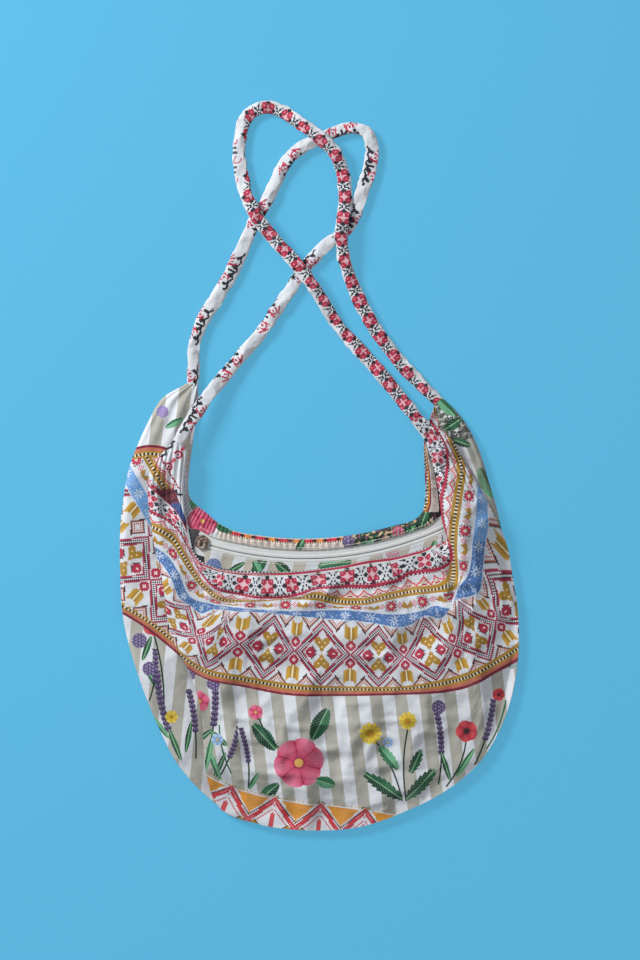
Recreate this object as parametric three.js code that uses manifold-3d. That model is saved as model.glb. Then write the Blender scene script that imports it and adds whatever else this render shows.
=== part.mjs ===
// Slouch shoulder bag of printed cloth, lying flat and empty with its zip shut.
// Millimetres, +Z up. The bag lies on its back panel, and its straps point along +Y.
import * as THREE from 'three';
import { mergeVertices } from 'three/addons/utils/BufferGeometryUtils.js';
import Module from 'manifold-3d';

// Outlines are read on a flat layout sheet, x to the right and y down from its corner.
// The bag's centre is at this place on the sheet.
const SHEET_CENTRE = { x: 319.3, y: 606.6 };

// General sizes
const GAP = 0.3;
const CLOTH = 1.6;
const FACING = 1.0;

// Straps: flat sewn tubes
const STRAP_WIDTH = 13.4;
const STRAP_HEIGHT = 7.6;
const STRAP_SIDES = 10;
const STRAP_STEP = 15;
const STRAP_LEAD = 5;
const MOUTH_GAP = 0.9;

// Heights of the undersides of the cloth above the table
const RIM_RISE = 2.4;
const FOLD_RISE = 8.2;
const SEAM_RISE = 4.8;
const ZIP_RISE = 9.6;

// Zip, which follows one arc through its lowest place on the sheet. Its tapes run to the
// left and the right of that place by these lengths.
const ZIP_LOWEST = { x: 304, y: 558.4 };
const ZIP_RADIUS = 335.4;
const ZIP_LEFT_RUN = 108.9;
const ZIP_RIGHT_RUN = 180.3;
const TAPE_WIDTH = 12;
const TAPE_THICK = 0.8;
const COIL_WIDTH = 2.0;
const COIL_HEIGHT = 1.5;
const TAPE_SLOT = 1.2;

// Slider and pull tab, with the distance of the slider's middle from the tapes' right end
const SLIDER_INSET = 20.5;
const SLIDER_LENGTH = 11;
const SLIDER_WIDTH = 7.4;
const SLIDER_PLATE = 1.2;
const SLIDER_CORNER = 2.2;
const POST_LENGTH = 2.5;
const POST_INSET = 0.5;
const SUNK = 0.4;
const BRIDGE_LENGTH = 6.4;
const BRIDGE_WIDTH = 1.3;
const BRIDGE_THICK = 0.9;
const PULL_BAR = 1.0;
const PULL_LENGTH = 13;
const PULL_WIDTH = 5.2;
const PULL_THICK = 1.0;
const PULL_ARM = 1.2;
const PULL_SLACK = 0.5;

// Stops and the patch over the zip's left end
const PATCH_LEAD = 1;
const STOP_LEAD = 5;
const STOP_LENGTH = 2.4;
const STOP_WALL = 0.8;
const STOP_REACH = 3.2;
const PATCH_LENGTH = 13;
const PATCH_WIDTH = 14;
const PATCH_BULGE = 1.2;

// Facings beside the zip
const FRONT_FACING_NEAR = 4.3;
const FRONT_FACING_FAR = 17;
const RIM_NEAR = 9;
const RIM_FAR = 19.5;

// Back panel: how far in from its outline it lies flat on the table, and its seam's lip
const TURN = 4;
const LIP_FOOT = { inset: 1.1, height: 0.6 };
const LIP_SHARES = [0.45, 0.72, 1];
const FLOOR_SHARES = [0.72, 0.38];

// How finely the cloth is divided
const STEPS_ALONG = 2;
const STEPS_ACROSS = 2;
const FRONT_ACROSS = 3;
const ARC_STEP = 2.8;

// Pleats at the horns' mouths, and the gathers of the facing above the zip
const PLEAT_DEPTH = 1.1;
const PLEAT_ROWS = 7;
const GATHER_DEPTH = 0.7;

const wasm = await Module();
wasm.setup();

const radians = THREE.MathUtils.degToRad;
const degrees = THREE.MathUtils.radToDeg;
const bag = new THREE.Group();

// A point of the layout sheet at a height, in the part's own frame
function onSheet(x, y, z) {
  return new THREE.Vector3(x - SHEET_CENTRE.x, SHEET_CENTRE.y - y, z);
}

// How many degrees of the zip's arc a length along it covers
function arcDegrees(length) {
  return degrees(length / ZIP_RADIUS);
}

const ZIP_CENTRE = { x: ZIP_LOWEST.x, y: ZIP_LOWEST.y - ZIP_RADIUS };
const ZIP_LEFT_END = -arcDegrees(ZIP_LEFT_RUN);
const ZIP_RIGHT_END = arcDegrees(ZIP_RIGHT_RUN);
const SLIDER_ANGLE = arcDegrees(ZIP_RIGHT_RUN - SLIDER_INSET);

function addMesh(name, geometry, finish, parent = bag) {
  const mesh = new THREE.Mesh(geometry, new THREE.MeshStandardMaterial(finish));
  mesh.name = name;
  parent.add(mesh);
  return mesh;
}

const PRINTED_CLOTH = { color: 0xd9cfc6, roughness: 0.85, metalness: 0 };
const DARK_PRINT = { color: 0x6d7a5c, roughness: 0.85, metalness: 0 };
const STRAP_CLOTH = { color: 0xd8ccd2, roughness: 0.85, metalness: 0 };
const TAPE_CLOTH = { color: 0xe6e8e6, roughness: 0.8, metalness: 0 };
const NYLON = { color: 0xdfe2e0, roughness: 0.45, metalness: 0 };
const ZIP_METAL = { color: 0xb9bdc0, roughness: 0.3, metalness: 1 };

// A net of points through the ribs, which are lists of equally many points.
// Curves run along each rib, and then from rib to rib.
function loft(ribs, along = STEPS_ALONG, across = STEPS_ACROSS) {
  const width = (ribs[0].length - 1) * across;
  const sampled = ribs.map((rib) => {
    const curve = new THREE.CatmullRomCurve3(rib, false, 'centripetal');
    return Array.from({ length: width + 1 }, (_, j) => curve.getPoint(j / width));
  });
  const length = (ribs.length - 1) * along;
  const columns = sampled[0].map((_, j) => {
    const curve = new THREE.CatmullRomCurve3(sampled.map((rib) => rib[j]), false, 'centripetal');
    return Array.from({ length: length + 1 }, (_, i) => curve.getPoint(i / length));
  });
  return Array.from({ length: length + 1 }, (_, i) => columns.map((column) => column[i]));
}

// The unit normals of a net of points
function netNormals(net) {
  const last = net.length - 1;
  const end = net[0].length - 1;
  return net.map((row, i) => row.map((_, j) => {
    const along = net[Math.min(i + 1, last)][j].clone().sub(net[Math.max(i - 1, 0)][j]);
    const across = net[i][Math.min(j + 1, end)].clone().sub(net[i][Math.max(j - 1, 0)]);
    return across.cross(along).normalize();
  }));
}

function signedVolume(points, triangles) {
  let total = 0;
  for (const [a, b, c] of triangles) {
    total += points[a].dot(points[b].clone().cross(points[c])) / 6;
  }
  return total;
}

function closedGeometry(points, triangles) {
  const outward = signedVolume(points, triangles) > 0;
  const geometry = new THREE.BufferGeometry();
  const flat = points.flatMap((point) => [point.x, point.y, point.z]);
  geometry.setAttribute('position', new THREE.Float32BufferAttribute(flat, 3));
  geometry.setIndex(triangles.flatMap(([a, b, c]) => (outward ? [a, b, c] : [a, c, b])));
  return geometry;
}

// A closed sheet of cloth, half its thickness to each side of a net of points
function clothSheet(net, thickness) {
  const normals = netNormals(net);
  const rows = net.length;
  const columns = net[0].length;
  const side = (sign) => net.flatMap((row, i) => row.map(
    (point, j) => point.clone().addScaledVector(normals[i][j], sign * thickness / 2),
  ));
  const points = [...side(1), ...side(-1)];
  const at = (i, j, layer) => layer * rows * columns + i * columns + j;
  const triangles = [];
  const quad = (a, b, c, d) => triangles.push([a, b, c], [a, c, d]);
  for (let i = 0; i < rows - 1; i += 1) {
    for (let j = 0; j < columns - 1; j += 1) {
      quad(at(i, j, 0), at(i + 1, j, 0), at(i + 1, j + 1, 0), at(i, j + 1, 0));
      quad(at(i, j, 1), at(i, j + 1, 1), at(i + 1, j + 1, 1), at(i + 1, j, 1));
    }
    quad(at(i, 0, 0), at(i, 0, 1), at(i + 1, 0, 1), at(i + 1, 0, 0));
    quad(at(i, columns - 1, 0), at(i + 1, columns - 1, 0), at(i + 1, columns - 1, 1), at(i, columns - 1, 1));
  }
  for (let j = 0; j < columns - 1; j += 1) {
    quad(at(0, j, 0), at(0, j + 1, 0), at(0, j + 1, 1), at(0, j, 1));
    quad(at(rows - 1, j, 0), at(rows - 1, j, 1), at(rows - 1, j + 1, 1), at(rows - 1, j + 1, 0));
  }
  return closedGeometry(points, triangles);
}

// The mouth of a horn: a rib that runs almost all round the end of a strap.
// It starts at `from` degrees and turns by `sweep`, with 0 towards the strap's right side.
function mouthRib(mouth, count, from, sweep) {
  const across = new THREE.Vector2(-mouth.along[1], mouth.along[0]).normalize();
  const halfWidth = (STRAP_WIDTH - CLOTH) / 2;
  const halfHeight = (STRAP_HEIGHT - CLOTH) / 2;
  return Array.from({ length: count }, (_, i) => {
    const angle = radians(from + sweep * i / (count - 1));
    const reach = halfWidth * Math.cos(angle);
    const x = mouth.x + across.x * reach;
    const y = mouth.y + across.y * reach;
    return onSheet(x, y, mouth.height + halfHeight * Math.sin(angle));
  });
}

// Where each strap meets its horn: the place on the sheet, the direction along the sheet
// from the horn into the strap, and the height of the strap's centre line
const FLAT_STRAP = STRAP_HEIGHT / 2 + GAP;
const LEFT_LIFT = 2.4;
const RIGHT_LIFT = 5;
const MOUTHS = {
  leftBack: { x: 192.5, y: 384, along: [0.05, -1], height: FLAT_STRAP },
  leftFront: { x: 179, y: 443, along: [0.51, -0.86], height: FOLD_RISE + CLOTH + FLAT_STRAP + LEFT_LIFT },
  rightFront: { x: 416, y: 419, along: [-0.58, -0.81], height: FLAT_STRAP + RIGHT_LIFT },
  rightBack: { x: 438, y: 401.5, along: [-0.74, -0.67], height: FLAT_STRAP },
};

// Front panel: one rib for each place along its U, from the zip's side to the outer side.
// Each point is its place on the sheet and the height of the cloth's underside.
const OVER_FOLD = FOLD_RISE + CLOTH + GAP;
const SEAM_TOP = SEAM_RISE + 2 * GAP;
const ZIP_EDGE = ZIP_RISE + TAPE_THICK + GAP + FACING + GAP;
const FRONT_RIBS = [
  [[187.5, 452, 17], [182, 455, 19.4], [175, 457, 20.4],
    [168, 458, 20], [161, 459, 18], [156, 460, 15]],
  [[186, 470, 16.5], [180.5, 472, 18.6], [173, 473, 17],
    [165.5, 473, 17], [158, 472, 17.5], [151, 470, 14.2]],
  [[184.5, 488, 16.5], [180, 490, 17.4], [173, 492, 11.5],
    [165, 492, 12], [157, 490, 17.6], [149, 488, 14]],
  [[185, 505, 15.5], [181, 508, 15.5], [174, 510, 10.8],
    [166, 511, 11.6], [158, 510, 17.6], [150, 508, 14]],
  [[187.5, 522, 14], [182, 525, 14.5], [175, 527, 14],
    [168, 528, 16], [160, 528, 17.5], [152.5, 527, 13.6]],
  [[190.5, 537, 13], [184, 541, 15], [177, 545, 16.5],
    [170, 547, 17.6], [163, 549, 17.6], [156.5, 551, 13.4]],
  [[194, 551, 12.4], [187, 557, 15.5], [180, 564, 18],
    [174, 570, 19], [169, 575, 18], [163.5, 580, 13.4]],
  [[202, 561, ZIP_EDGE], [194, 572, 15.5], [188, 583, 18.4],
    [182, 594, 19.6], [175, 604, 18.6], [167.5, 612, 13.4]],
  [[213, 566, ZIP_EDGE], [206, 582, 15.5], [199, 600, 18],
    [192, 617, 20], [185, 632, 19], [176, 644, 13.4]],
  [[227, 569.5, ZIP_EDGE], [220, 592, 15], [213, 617, 17.6],
    [206, 640, 19.6], [200, 658, 18.6], [191, 672, 13.2]],
  [[244, 571.5, ZIP_EDGE], [238, 602, 15.6], [231, 635, 17.6],
    [223, 667, 19], [214, 692, 17.4], [202, 713, 12.4]],
  [[263, 573, ZIP_EDGE], [259, 611, 16], [252, 652, 17.6],
    [243, 694, 17.8], [230, 733, 15], [206, 766, 10.6]],
  [[284, 573, ZIP_EDGE], [281, 617, 16.2], [275, 667, 17.6],
    [264, 717, 16.2], [247, 768, 11.5], [219, 806, SEAM_TOP]],
  [[306, 572, ZIP_EDGE], [304, 621, 16], [300, 675, 17.2],
    [293, 729, 15.4], [281, 781, 10.6], [262, 824, SEAM_TOP]],
  [[328, 571, ZIP_EDGE], [328, 622, 15.4], [327, 678, 17],
    [325, 734, 15], [320, 788, 10.4], [311, 829.5, SEAM_TOP]],
  [[350, 569, ZIP_EDGE], [352, 620, 15], [355, 676, 16.8],
    [357, 732, 15], [359, 785, 10.2], [358, 826.4, SEAM_TOP]],
  [[372, 565.5, ZIP_EDGE], [377, 615, 14.6], [384, 672, 16.6],
    [391, 726, 14.8], [399, 773, 10], [404, 811, SEAM_TOP]],
  [[393, 561, ZIP_EDGE], [401, 610, 14.2], [411, 664, 16.6],
    [422, 714, 14.6], [435, 754, 10], [447, 789, SEAM_TOP]],
  [[412, 555.5, ZIP_EDGE], [423, 600, 14], [437, 648, 16.6],
    [452, 694, 14.4], [467, 730, 9.8], [482, 758, SEAM_TOP]],
  [[430, 549.2, ZIP_EDGE], [441, 582, 14], [455, 616, 16.6],
    [473, 651, 14], [490, 681, 9.8], [506, 713, SEAM_TOP]],
  [[443, 544, ZIP_EDGE + 0.6], [450, 567, 14.4], [462, 592, 17.4],
    [482, 618, 14.6], [501, 642, 9.8], [516.5, 667, SEAM_TOP]],
  [[447, 538, 15.4], [455, 554, 20.6], [467, 573, 20],
    [485, 593, 15.4], [503, 611, 10], [518.2, 625, SEAM_TOP]],
  [[444.5, 530.5, 15.6], [451.5, 534, 24.4], [461, 540, 27],
    [474, 550, 23.5], [492, 564, 14], [512.5, 579, SEAM_TOP]],
  [[441.8, 522.5, 15.6], [449, 519.5, 24.6], [458.5, 516.5, 28],
    [470, 516, 26.4], [486, 522, 17.5], [504.5, 540, SEAM_TOP + 1]],
  [[440.4, 510, 15], [447, 506.5, 22.4], [456, 504.5, 25.6],
    [467, 504, 23.6], [480, 506, 18], [491, 511, OVER_FOLD + 1.6]],
  [[438.6, 494, 13.6], [445, 492, 18.6], [454, 490.5, 20.6],
    [463.5, 490, 19.4], [473, 490.5, 16], [481.5, 493, OVER_FOLD + 1.6]],
  [[435.4, 476, 12.6], [441.5, 474, 16], [449, 472.5, 17.6],
    [457, 472, 16.8], [465, 473, 14.6], [471.5, 475.5, OVER_FOLD + 1.4]],
  [[430.6, 458, 12], [436, 455.5, 14.6], [442, 453.5, 15.8],
    [448.5, 452.5, 15.4], [455, 453.5, 14], [460.5, 456, OVER_FOLD + 1]],
  [[425, 442, 11], [429.5, 439, 12.8], [434.5, 436.5, 13.8],
    [440, 435, 13.6], [445, 435.5, 13], [449, 438, OVER_FOLD + 0.6]],
];

// Soft folds of the front panel: a line on the sheet, with the height and half width of a
// ridge along it, or of a valley where the height is below zero
const FOLDS = [
  { from: [222, 583], to: [300, 586], height: 3.2, width: 9 },
  { from: [216, 601], to: [318, 606], height: -3.4, width: 8 },
  { from: [250, 628], to: [392, 634], height: 2.4, width: 13 },
  { from: [372, 604], to: [446, 590], height: 3.4, width: 9 },
  { from: [396, 583], to: [446, 573], height: -2.8, width: 7 },
  { from: [212, 640], to: [232, 742], height: 2.6, width: 12 },
  { from: [236, 700], to: [262, 790], height: -2.6, width: 9 },
  { from: [300, 706], to: [306, 800], height: 2.2, width: 14 },
  { from: [338, 700], to: [338, 806], height: -2.0, width: 9 },
  { from: [404, 704], to: [414, 784], height: 2.4, width: 12 },
  { from: [440, 700], to: [452, 768], height: -2.2, width: 8 },
  { from: [484, 606], to: [470, 700], height: 2.2, width: 12 },
];

function distanceToLine(x, y, [ax, ay], [bx, by]) {
  const length = (bx - ax) ** 2 + (by - ay) ** 2;
  const share = THREE.MathUtils.clamp(((x - ax) * (bx - ax) + (y - ay) * (by - ay)) / length, 0, 1);
  return Math.hypot(x - ax - share * (bx - ax), y - ay - share * (by - ay));
}

// Folds fade out over a quarter of the sheet's width towards its sewn edges
function raiseFolds(net) {
  const last = net[0].length - 1;
  const fadeShare = 0.25;
  net.forEach((row) => row.forEach((point, j) => {
    const x = point.x + SHEET_CENTRE.x;
    const y = SHEET_CENTRE.y - point.y;
    const fade = Math.min(1, Math.min(j, last - j) / (last * fadeShare));
    const rise = FOLDS.reduce((sum, fold) => {
      const distance = distanceToLine(x, y, fold.from, fold.to) / fold.width;
      return sum + fold.height * Math.exp(-distance * distance);
    }, 0);
    point.z += rise * fade;
  }));
}

// Pleats that run out of the horns' mouths and fade: every second line of the net stands proud
function pleatEnds(net, depth) {
  const last = net[0].length - 1;
  for (let i = 1; i < PLEAT_ROWS; i += 1) {
    const strength = depth * Math.sin(Math.PI * i / PLEAT_ROWS);
    for (const row of [net[i], net[net.length - 1 - i]]) {
      for (let j = 1; j < last; j += 2) {
        row[j].z += strength;
      }
    }
  }
}

function frontPanel() {
  const half = CLOTH / 2;
  const count = FRONT_RIBS[0].length;
  const ribs = FRONT_RIBS.map((rib) => rib.map(([x, y, z]) => onSheet(x, y, z + half)));
  const left = mouthRib(MOUTHS.leftFront, count, 10, 255);
  const right = mouthRib(MOUTHS.rightFront, count, 170, -255);
  const net = loft([left, ...ribs, right], STEPS_ALONG, FRONT_ACROSS);
  raiseFolds(net);
  pleatEnds(net, PLEAT_DEPTH);
  return clothSheet(net, CLOTH);
}

// Back panel: one rib for each place along its U. `rim` is on the inner edge, `edge` on the
// outline, and `lap` is where the cloth ends after it turns up and over to the front.
// A rib with no lap ends in a short lip at the seam.
const BACK_RIBS = [
  { rim: [199, 402], edge: [162, 399], lap: [194, 402], rise: 6.6 },
  { rim: [195.5, 424], edge: [149.5, 420], lap: [188, 424], rise: 7.4 },
  { rim: [192.5, 447], edge: [138.5, 444], lap: [178, 448], rise: FOLD_RISE },
  { rim: [189.5, 470], edge: [130, 466], lap: [169, 473], rise: FOLD_RISE },
  { rim: [189.5, 495], edge: [124.2, 496], lap: [166, 500], rise: FOLD_RISE },
  { rim: [200, 510], edge: [120.6, 530], lap: [168, 530], rise: FOLD_RISE },
  { rim: [214, 521.5], edge: [120.6, 572], lap: [174, 570], rise: FOLD_RISE },
  { rim: [231, 534], edge: [123.6, 618], lap: [180, 612], rise: FOLD_RISE },
  { rim: [252, 538], edge: [136, 667], lap: [192, 651], rise: FOLD_RISE },
  { rim: [278, 540], edge: [156, 720], lap: [208, 690], rise: FOLD_RISE - 0.6 },
  { rim: [303, 540.4], edge: [181, 768], lap: [214, 740], rise: FOLD_RISE - 2 },
  { rim: [325, 540], edge: [219, 806] },
  { rim: [341, 539.4], edge: [262, 824] },
  { rim: [356, 538], edge: [311, 829.5] },
  { rim: [370, 536], edge: [358, 826.4] },
  { rim: [383, 533], edge: [404, 811] },
  { rim: [395, 530], edge: [447, 789] },
  { rim: [405, 526.5], edge: [482, 758] },
  { rim: [414, 522], edge: [506, 713] },
  { rim: [420, 516], edge: [516.5, 667] },
  { rim: [423, 509.5], edge: [518.2, 625] },
  { rim: [424.4, 502], edge: [512.5, 579] },
  { rim: [425, 494], edge: [504.5, 541] },
  { rim: [425, 484], edge: [496.5, 509], lap: [478, 511], rise: FOLD_RISE },
  { rim: [424.6, 472], edge: [488, 480], lap: [462, 484], rise: FOLD_RISE },
  { rim: [423.8, 458], edge: [479.4, 452], lap: [448, 459], rise: FOLD_RISE },
  { rim: [424, 442], edge: [468.6, 429], lap: [440, 440], rise: FOLD_RISE },
  { rim: [428, 425], edge: [456, 411.5], lap: [438.5, 426], rise: 7 },
];

function backRib({ rim, edge, lap, rise }) {
  const half = CLOTH / 2;
  const inward = new THREE.Vector2(rim[0] - edge[0], rim[1] - edge[1]);
  const run = inward.length();
  inward.normalize();
  const from = (distance, z) => (
    onSheet(edge[0] + inward.x * distance, edge[1] + inward.y * distance, z + half)
  );
  const floor = [from(run, RIM_RISE), ...FLOOR_SHARES.map((share) => from(run * share, 0)), from(TURN, 0)];
  if (!lap) {
    const lip = SEAM_RISE - half;
    const foot = from(LIP_FOOT.inset, LIP_FOOT.height);
    return [...floor, foot, ...LIP_SHARES.map((share) => from(0, lip * share))];
  }
  const over = new THREE.Vector2(lap[0] - edge[0], lap[1] - edge[1]);
  const onLap = (share, z) => onSheet(edge[0] + over.x * share, edge[1] + over.y * share, z + half);
  const first = TURN / over.length();
  return [...floor, from(0, rise / 2), onLap(first, rise), onLap((1 + first) / 2, rise), onLap(1, rise)];
}

function backPanel() {
  const ribs = BACK_RIBS.map(backRib);
  const count = ribs[0].length;
  const left = mouthRib(MOUTHS.leftBack, count, -30, -300);
  const right = mouthRib(MOUTHS.rightBack, count, 210, 300);
  const net = loft([left, ...ribs, right]);
  net.flat().forEach((point) => point.setZ(Math.max(point.z, CLOTH / 2)));
  const lapColumns = 2 * STEPS_ACROSS + 1;
  pleatEnds(net.map((row) => row.slice(-lapColumns)), PLEAT_DEPTH);
  return clothSheet(net, CLOTH);
}

// Places beside the zip, a distance outside its arc, at an angle from straight down
function besideZip(angle, outside) {
  const reach = ZIP_RADIUS + outside;
  return [ZIP_CENTRE.x + reach * Math.sin(angle), ZIP_CENTRE.y + reach * Math.cos(angle)];
}

// The angle at which a distance outside the zip's arc lies at a place across the sheet
function zipAngle(x, outside) {
  return Math.asin((x - ZIP_CENTRE.x) / (ZIP_RADIUS + outside));
}

// A place beside the zip, at a place across the sheet
function acrossZip(x, outside) {
  return besideZip(zipAngle(x, outside), outside);
}

const OVER_TAPE = ZIP_RISE + TAPE_THICK + GAP;

// Facing between the zip and the front panel, tucked under the panel's edge
function frontFacing() {
  const half = FACING / 2;
  const places = [205, 220, 244, 268, 292, 316, 340, 364, 388, 410, 430, 441];
  const extra = [3.5, 2.4, 0.8, 0, 0, 0, 0, 0, 0, 0, 0, 0];
  const ribs = places.map((x, i) => [0, 1].map((share) => {
    const far = FRONT_FACING_FAR + extra[i];
    const outside = THREE.MathUtils.lerp(FRONT_FACING_NEAR, far, share);
    return onSheet(...acrossZip(x, outside), OVER_TAPE + half);
  }));
  return clothSheet(loft(ribs), FACING);
}

// Gathered facing above the zip, which runs on up the inside of both horns.
// Each rib goes from the bag's rim to the side of the zip.
const RIM_TOP = RIM_RISE + CLOTH + GAP;
const HORN_RISE = 7;
const RIM_LEFT = [
  [[191, 437], [182, 440], HORN_RISE],
  [[189.6, 456], [178, 459], HORN_RISE],
  [[188, 478], [175, 483], HORN_RISE],
  [[187.6, 496], [175, 507], HORN_RISE],
  [[196, 504.5], [183, 526], HORN_RISE + 2],
  [acrossZip(206.5, -RIM_FAR - 10), acrossZip(199, -RIM_NEAR - 2.4), OVER_TAPE],
  [acrossZip(218, -RIM_FAR - 4), acrossZip(213, -RIM_NEAR), OVER_TAPE],
];
const RIM_RIGHT = [
  [acrossZip(413, -RIM_FAR + 1), acrossZip(415, -RIM_NEAR), OVER_TAPE],
  [acrossZip(421, -RIM_FAR - 2.4), acrossZip(428, -RIM_NEAR), OVER_TAPE],
  [acrossZip(425, -RIM_FAR - 11), acrossZip(437.6, -RIM_NEAR - 6), OVER_TAPE],
  [[426.6, 488], [437.6, 498], HORN_RISE + 1],
  [[426.4, 471], [434.6, 477], HORN_RISE],
  [[425, 455], [430.6, 459], HORN_RISE],
  [[423.6, 444], [427, 446], HORN_RISE],
];

// The facing rises from the rim, and lies level where it covers the tape
const RIM_SHARES = [[0, 0], [0.28, 0.62], [0.5, 1], [1, 1]];

function rimFacing() {
  const half = FACING / 2;
  const pair = ([rim, near, rise]) => RIM_SHARES.map(([share, climb]) => {
    const x = THREE.MathUtils.lerp(rim[0], near[0], share);
    const y = THREE.MathUtils.lerp(rim[1], near[1], share);
    return onSheet(x, y, THREE.MathUtils.lerp(RIM_TOP, rise, climb) + half);
  });
  const middle = [236, 262, 288, 314, 340, 366, 392].map((x) => (
    pair([acrossZip(x, -RIM_FAR), acrossZip(x, -RIM_NEAR), OVER_TAPE])
  ));
  const net = loft([...RIM_LEFT.map(pair), ...middle, ...RIM_RIGHT.map(pair)], STEPS_ALONG, 1);
  net.filter((_, i) => i % 2).flat().forEach((point) => point.setZ(point.z + GATHER_DEPTH));
  return clothSheet(net, FACING);
}

// A bar with a square section that follows the zip's arc
function arcBar(outsideFrom, outsideTo, low, high, fromAngle, toAngle) {
  const centre = onSheet(ZIP_CENTRE.x, ZIP_CENTRE.y, low);
  const start = radians(fromAngle - 90);
  const end = radians(toAngle - 90);
  const shape = new THREE.Shape();
  shape.absarc(0, 0, ZIP_RADIUS + outsideTo, start, end, false);
  shape.absarc(0, 0, ZIP_RADIUS + outsideFrom, end, start, true);
  const steps = Math.max(2, Math.ceil(Math.abs(toAngle - fromAngle) / ARC_STEP));
  const geometry = new THREE.ExtrudeGeometry(shape, {
    depth: high - low,
    bevelEnabled: false,
    curveSegments: steps,
  });
  geometry.translate(centre.x, centre.y, centre.z);
  return geometry;
}

const COIL_TOP = ZIP_RISE - GAP;
const SLIDER_HALF = arcDegrees(SLIDER_LENGTH / 2);
const SIDE_CLEARANCE = arcDegrees(GAP);
const TOP_STOP_START = SLIDER_ANGLE + SLIDER_HALF + SIDE_CLEARANCE;
const PATCH_START = ZIP_LEFT_END - arcDegrees(PATCH_LEAD);
const BOTTOM_STOP_START = ZIP_LEFT_END + arcDegrees(STOP_LEAD);
const COIL_START = BOTTOM_STOP_START + arcDegrees(STOP_LENGTH) + SIDE_CLEARANCE;
const COIL_END = TOP_STOP_START - SIDE_CLEARANCE;

function addZipStrips() {
  const edge = TAPE_SLOT / 2;
  const tapeTop = ZIP_RISE + TAPE_THICK;
  const coilLow = COIL_TOP - COIL_HEIGHT;
  const tape = (near, far) => arcBar(near, far, ZIP_RISE, tapeTop, ZIP_LEFT_END, ZIP_RIGHT_END);
  const coil = (near, far) => arcBar(near, far, coilLow, COIL_TOP, COIL_START, COIL_END);
  addMesh('zip_tape_front', tape(edge, edge + TAPE_WIDTH), TAPE_CLOTH);
  addMesh('zip_tape_back', tape(-edge - TAPE_WIDTH, -edge), TAPE_CLOTH);
  addMesh('zip_coil_front', coil(edge, edge + COIL_WIDTH), NYLON);
  addMesh('zip_coil_back', coil(-edge - COIL_WIDTH, -edge), NYLON);
}

// A solid that manifold-3d can join and cut
function toSolid(geometry) {
  const bare = geometry.clone();
  bare.deleteAttribute('normal');
  bare.deleteAttribute('uv');
  const merged = mergeVertices(bare, 1e-5);
  return new wasm.Manifold(new wasm.Mesh({
    numProp: 3,
    vertProperties: new Float32Array(merged.attributes.position.array),
    triVerts: new Uint32Array(merged.index.array),
  }));
}

function fromSolid(solid) {
  const mesh = solid.getMesh();
  const geometry = new THREE.BufferGeometry();
  geometry.setAttribute('position', new THREE.Float32BufferAttribute(mesh.vertProperties, 3));
  geometry.setIndex(Array.from(mesh.triVerts));
  return geometry;
}

function join(geometries) {
  return fromSolid(geometries.map(toSolid).reduce((all, next) => all.add(next)));
}

function box(x0, x1, y0, y1, z0, z1) {
  const geometry = new THREE.BoxGeometry(x1 - x0, y1 - y0, z1 - z0);
  geometry.translate((x0 + x1) / 2, (y0 + y1) / 2, (z0 + z1) / 2);
  return geometry;
}

// A metal clip round the inner edges of tapes: of the front one (1), the back one (-1) or both
function zipStop(fromAngle, sides) {
  const toAngle = fromAngle + arcDegrees(STOP_LENGTH);
  const low = ZIP_RISE - GAP - STOP_WALL;
  const high = OVER_TAPE + STOP_WALL;
  const bar = (reach, from, to) => {
    const ends = sides.length > 1 ? [-reach, reach] : [sides[0] * GAP / 2, sides[0] * reach];
    return arcBar(Math.min(...ends), Math.max(...ends), from, to, fromAngle, toAngle);
  };
  return join([
    bar(STOP_REACH, low, low + STOP_WALL),
    bar(STOP_REACH, high - STOP_WALL, high),
    bar(TAPE_SLOT / 2 - GAP, low, high),
  ]);
}

function addStops() {
  addMesh('zip_top_stop_front', zipStop(TOP_STOP_START, [1]), ZIP_METAL);
  addMesh('zip_top_stop_back', zipStop(TOP_STOP_START, [-1]), ZIP_METAL);
  addMesh('zip_bottom_stop', zipStop(BOTTOM_STOP_START, [-1, 1]), ZIP_METAL);
}

// The small bunched patch that hides the zip's left end
function endPatch() {
  const half = FACING / 2;
  const overStop = OVER_TAPE + STOP_WALL + GAP + half;
  const overFacing = OVER_TAPE + FACING + GAP + half;
  const near = FRONT_FACING_NEAR + 2 - PATCH_WIDTH;
  const shares = [0, 1 / 3, 2 / 3, 1];
  const ribs = shares.map((share) => {
    const angle = radians(PATCH_START + arcDegrees(PATCH_LENGTH) * share);
    const bulge = PATCH_BULGE * Math.sin(Math.PI * share);
    const heights = [OVER_TAPE + half, overStop + bulge, overFacing + bulge, overFacing];
    return shares.map((across, i) => onSheet(...besideZip(angle, near + PATCH_WIDTH * across), heights[i]));
  });
  return clothSheet(loft(ribs), FACING);
}

// The slider and its pull tab are made at their own origin, with x along the zip, y towards
// the arc's centre and z up from the tapes' undersides, and are then set on the arc.
const PLATE_BOTTOM = TAPE_THICK + GAP;
const PLATE_TOP = PLATE_BOTTOM + SLIDER_PLATE;
const PIVOT_HEIGHT = PLATE_TOP + GAP + PULL_BAR / 2;
const BRIDGE_BOTTOM = PIVOT_HEIGHT + PULL_BAR / 2 + GAP;
const BRIDGE_TOP = BRIDGE_BOTTOM + BRIDGE_THICK;

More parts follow.
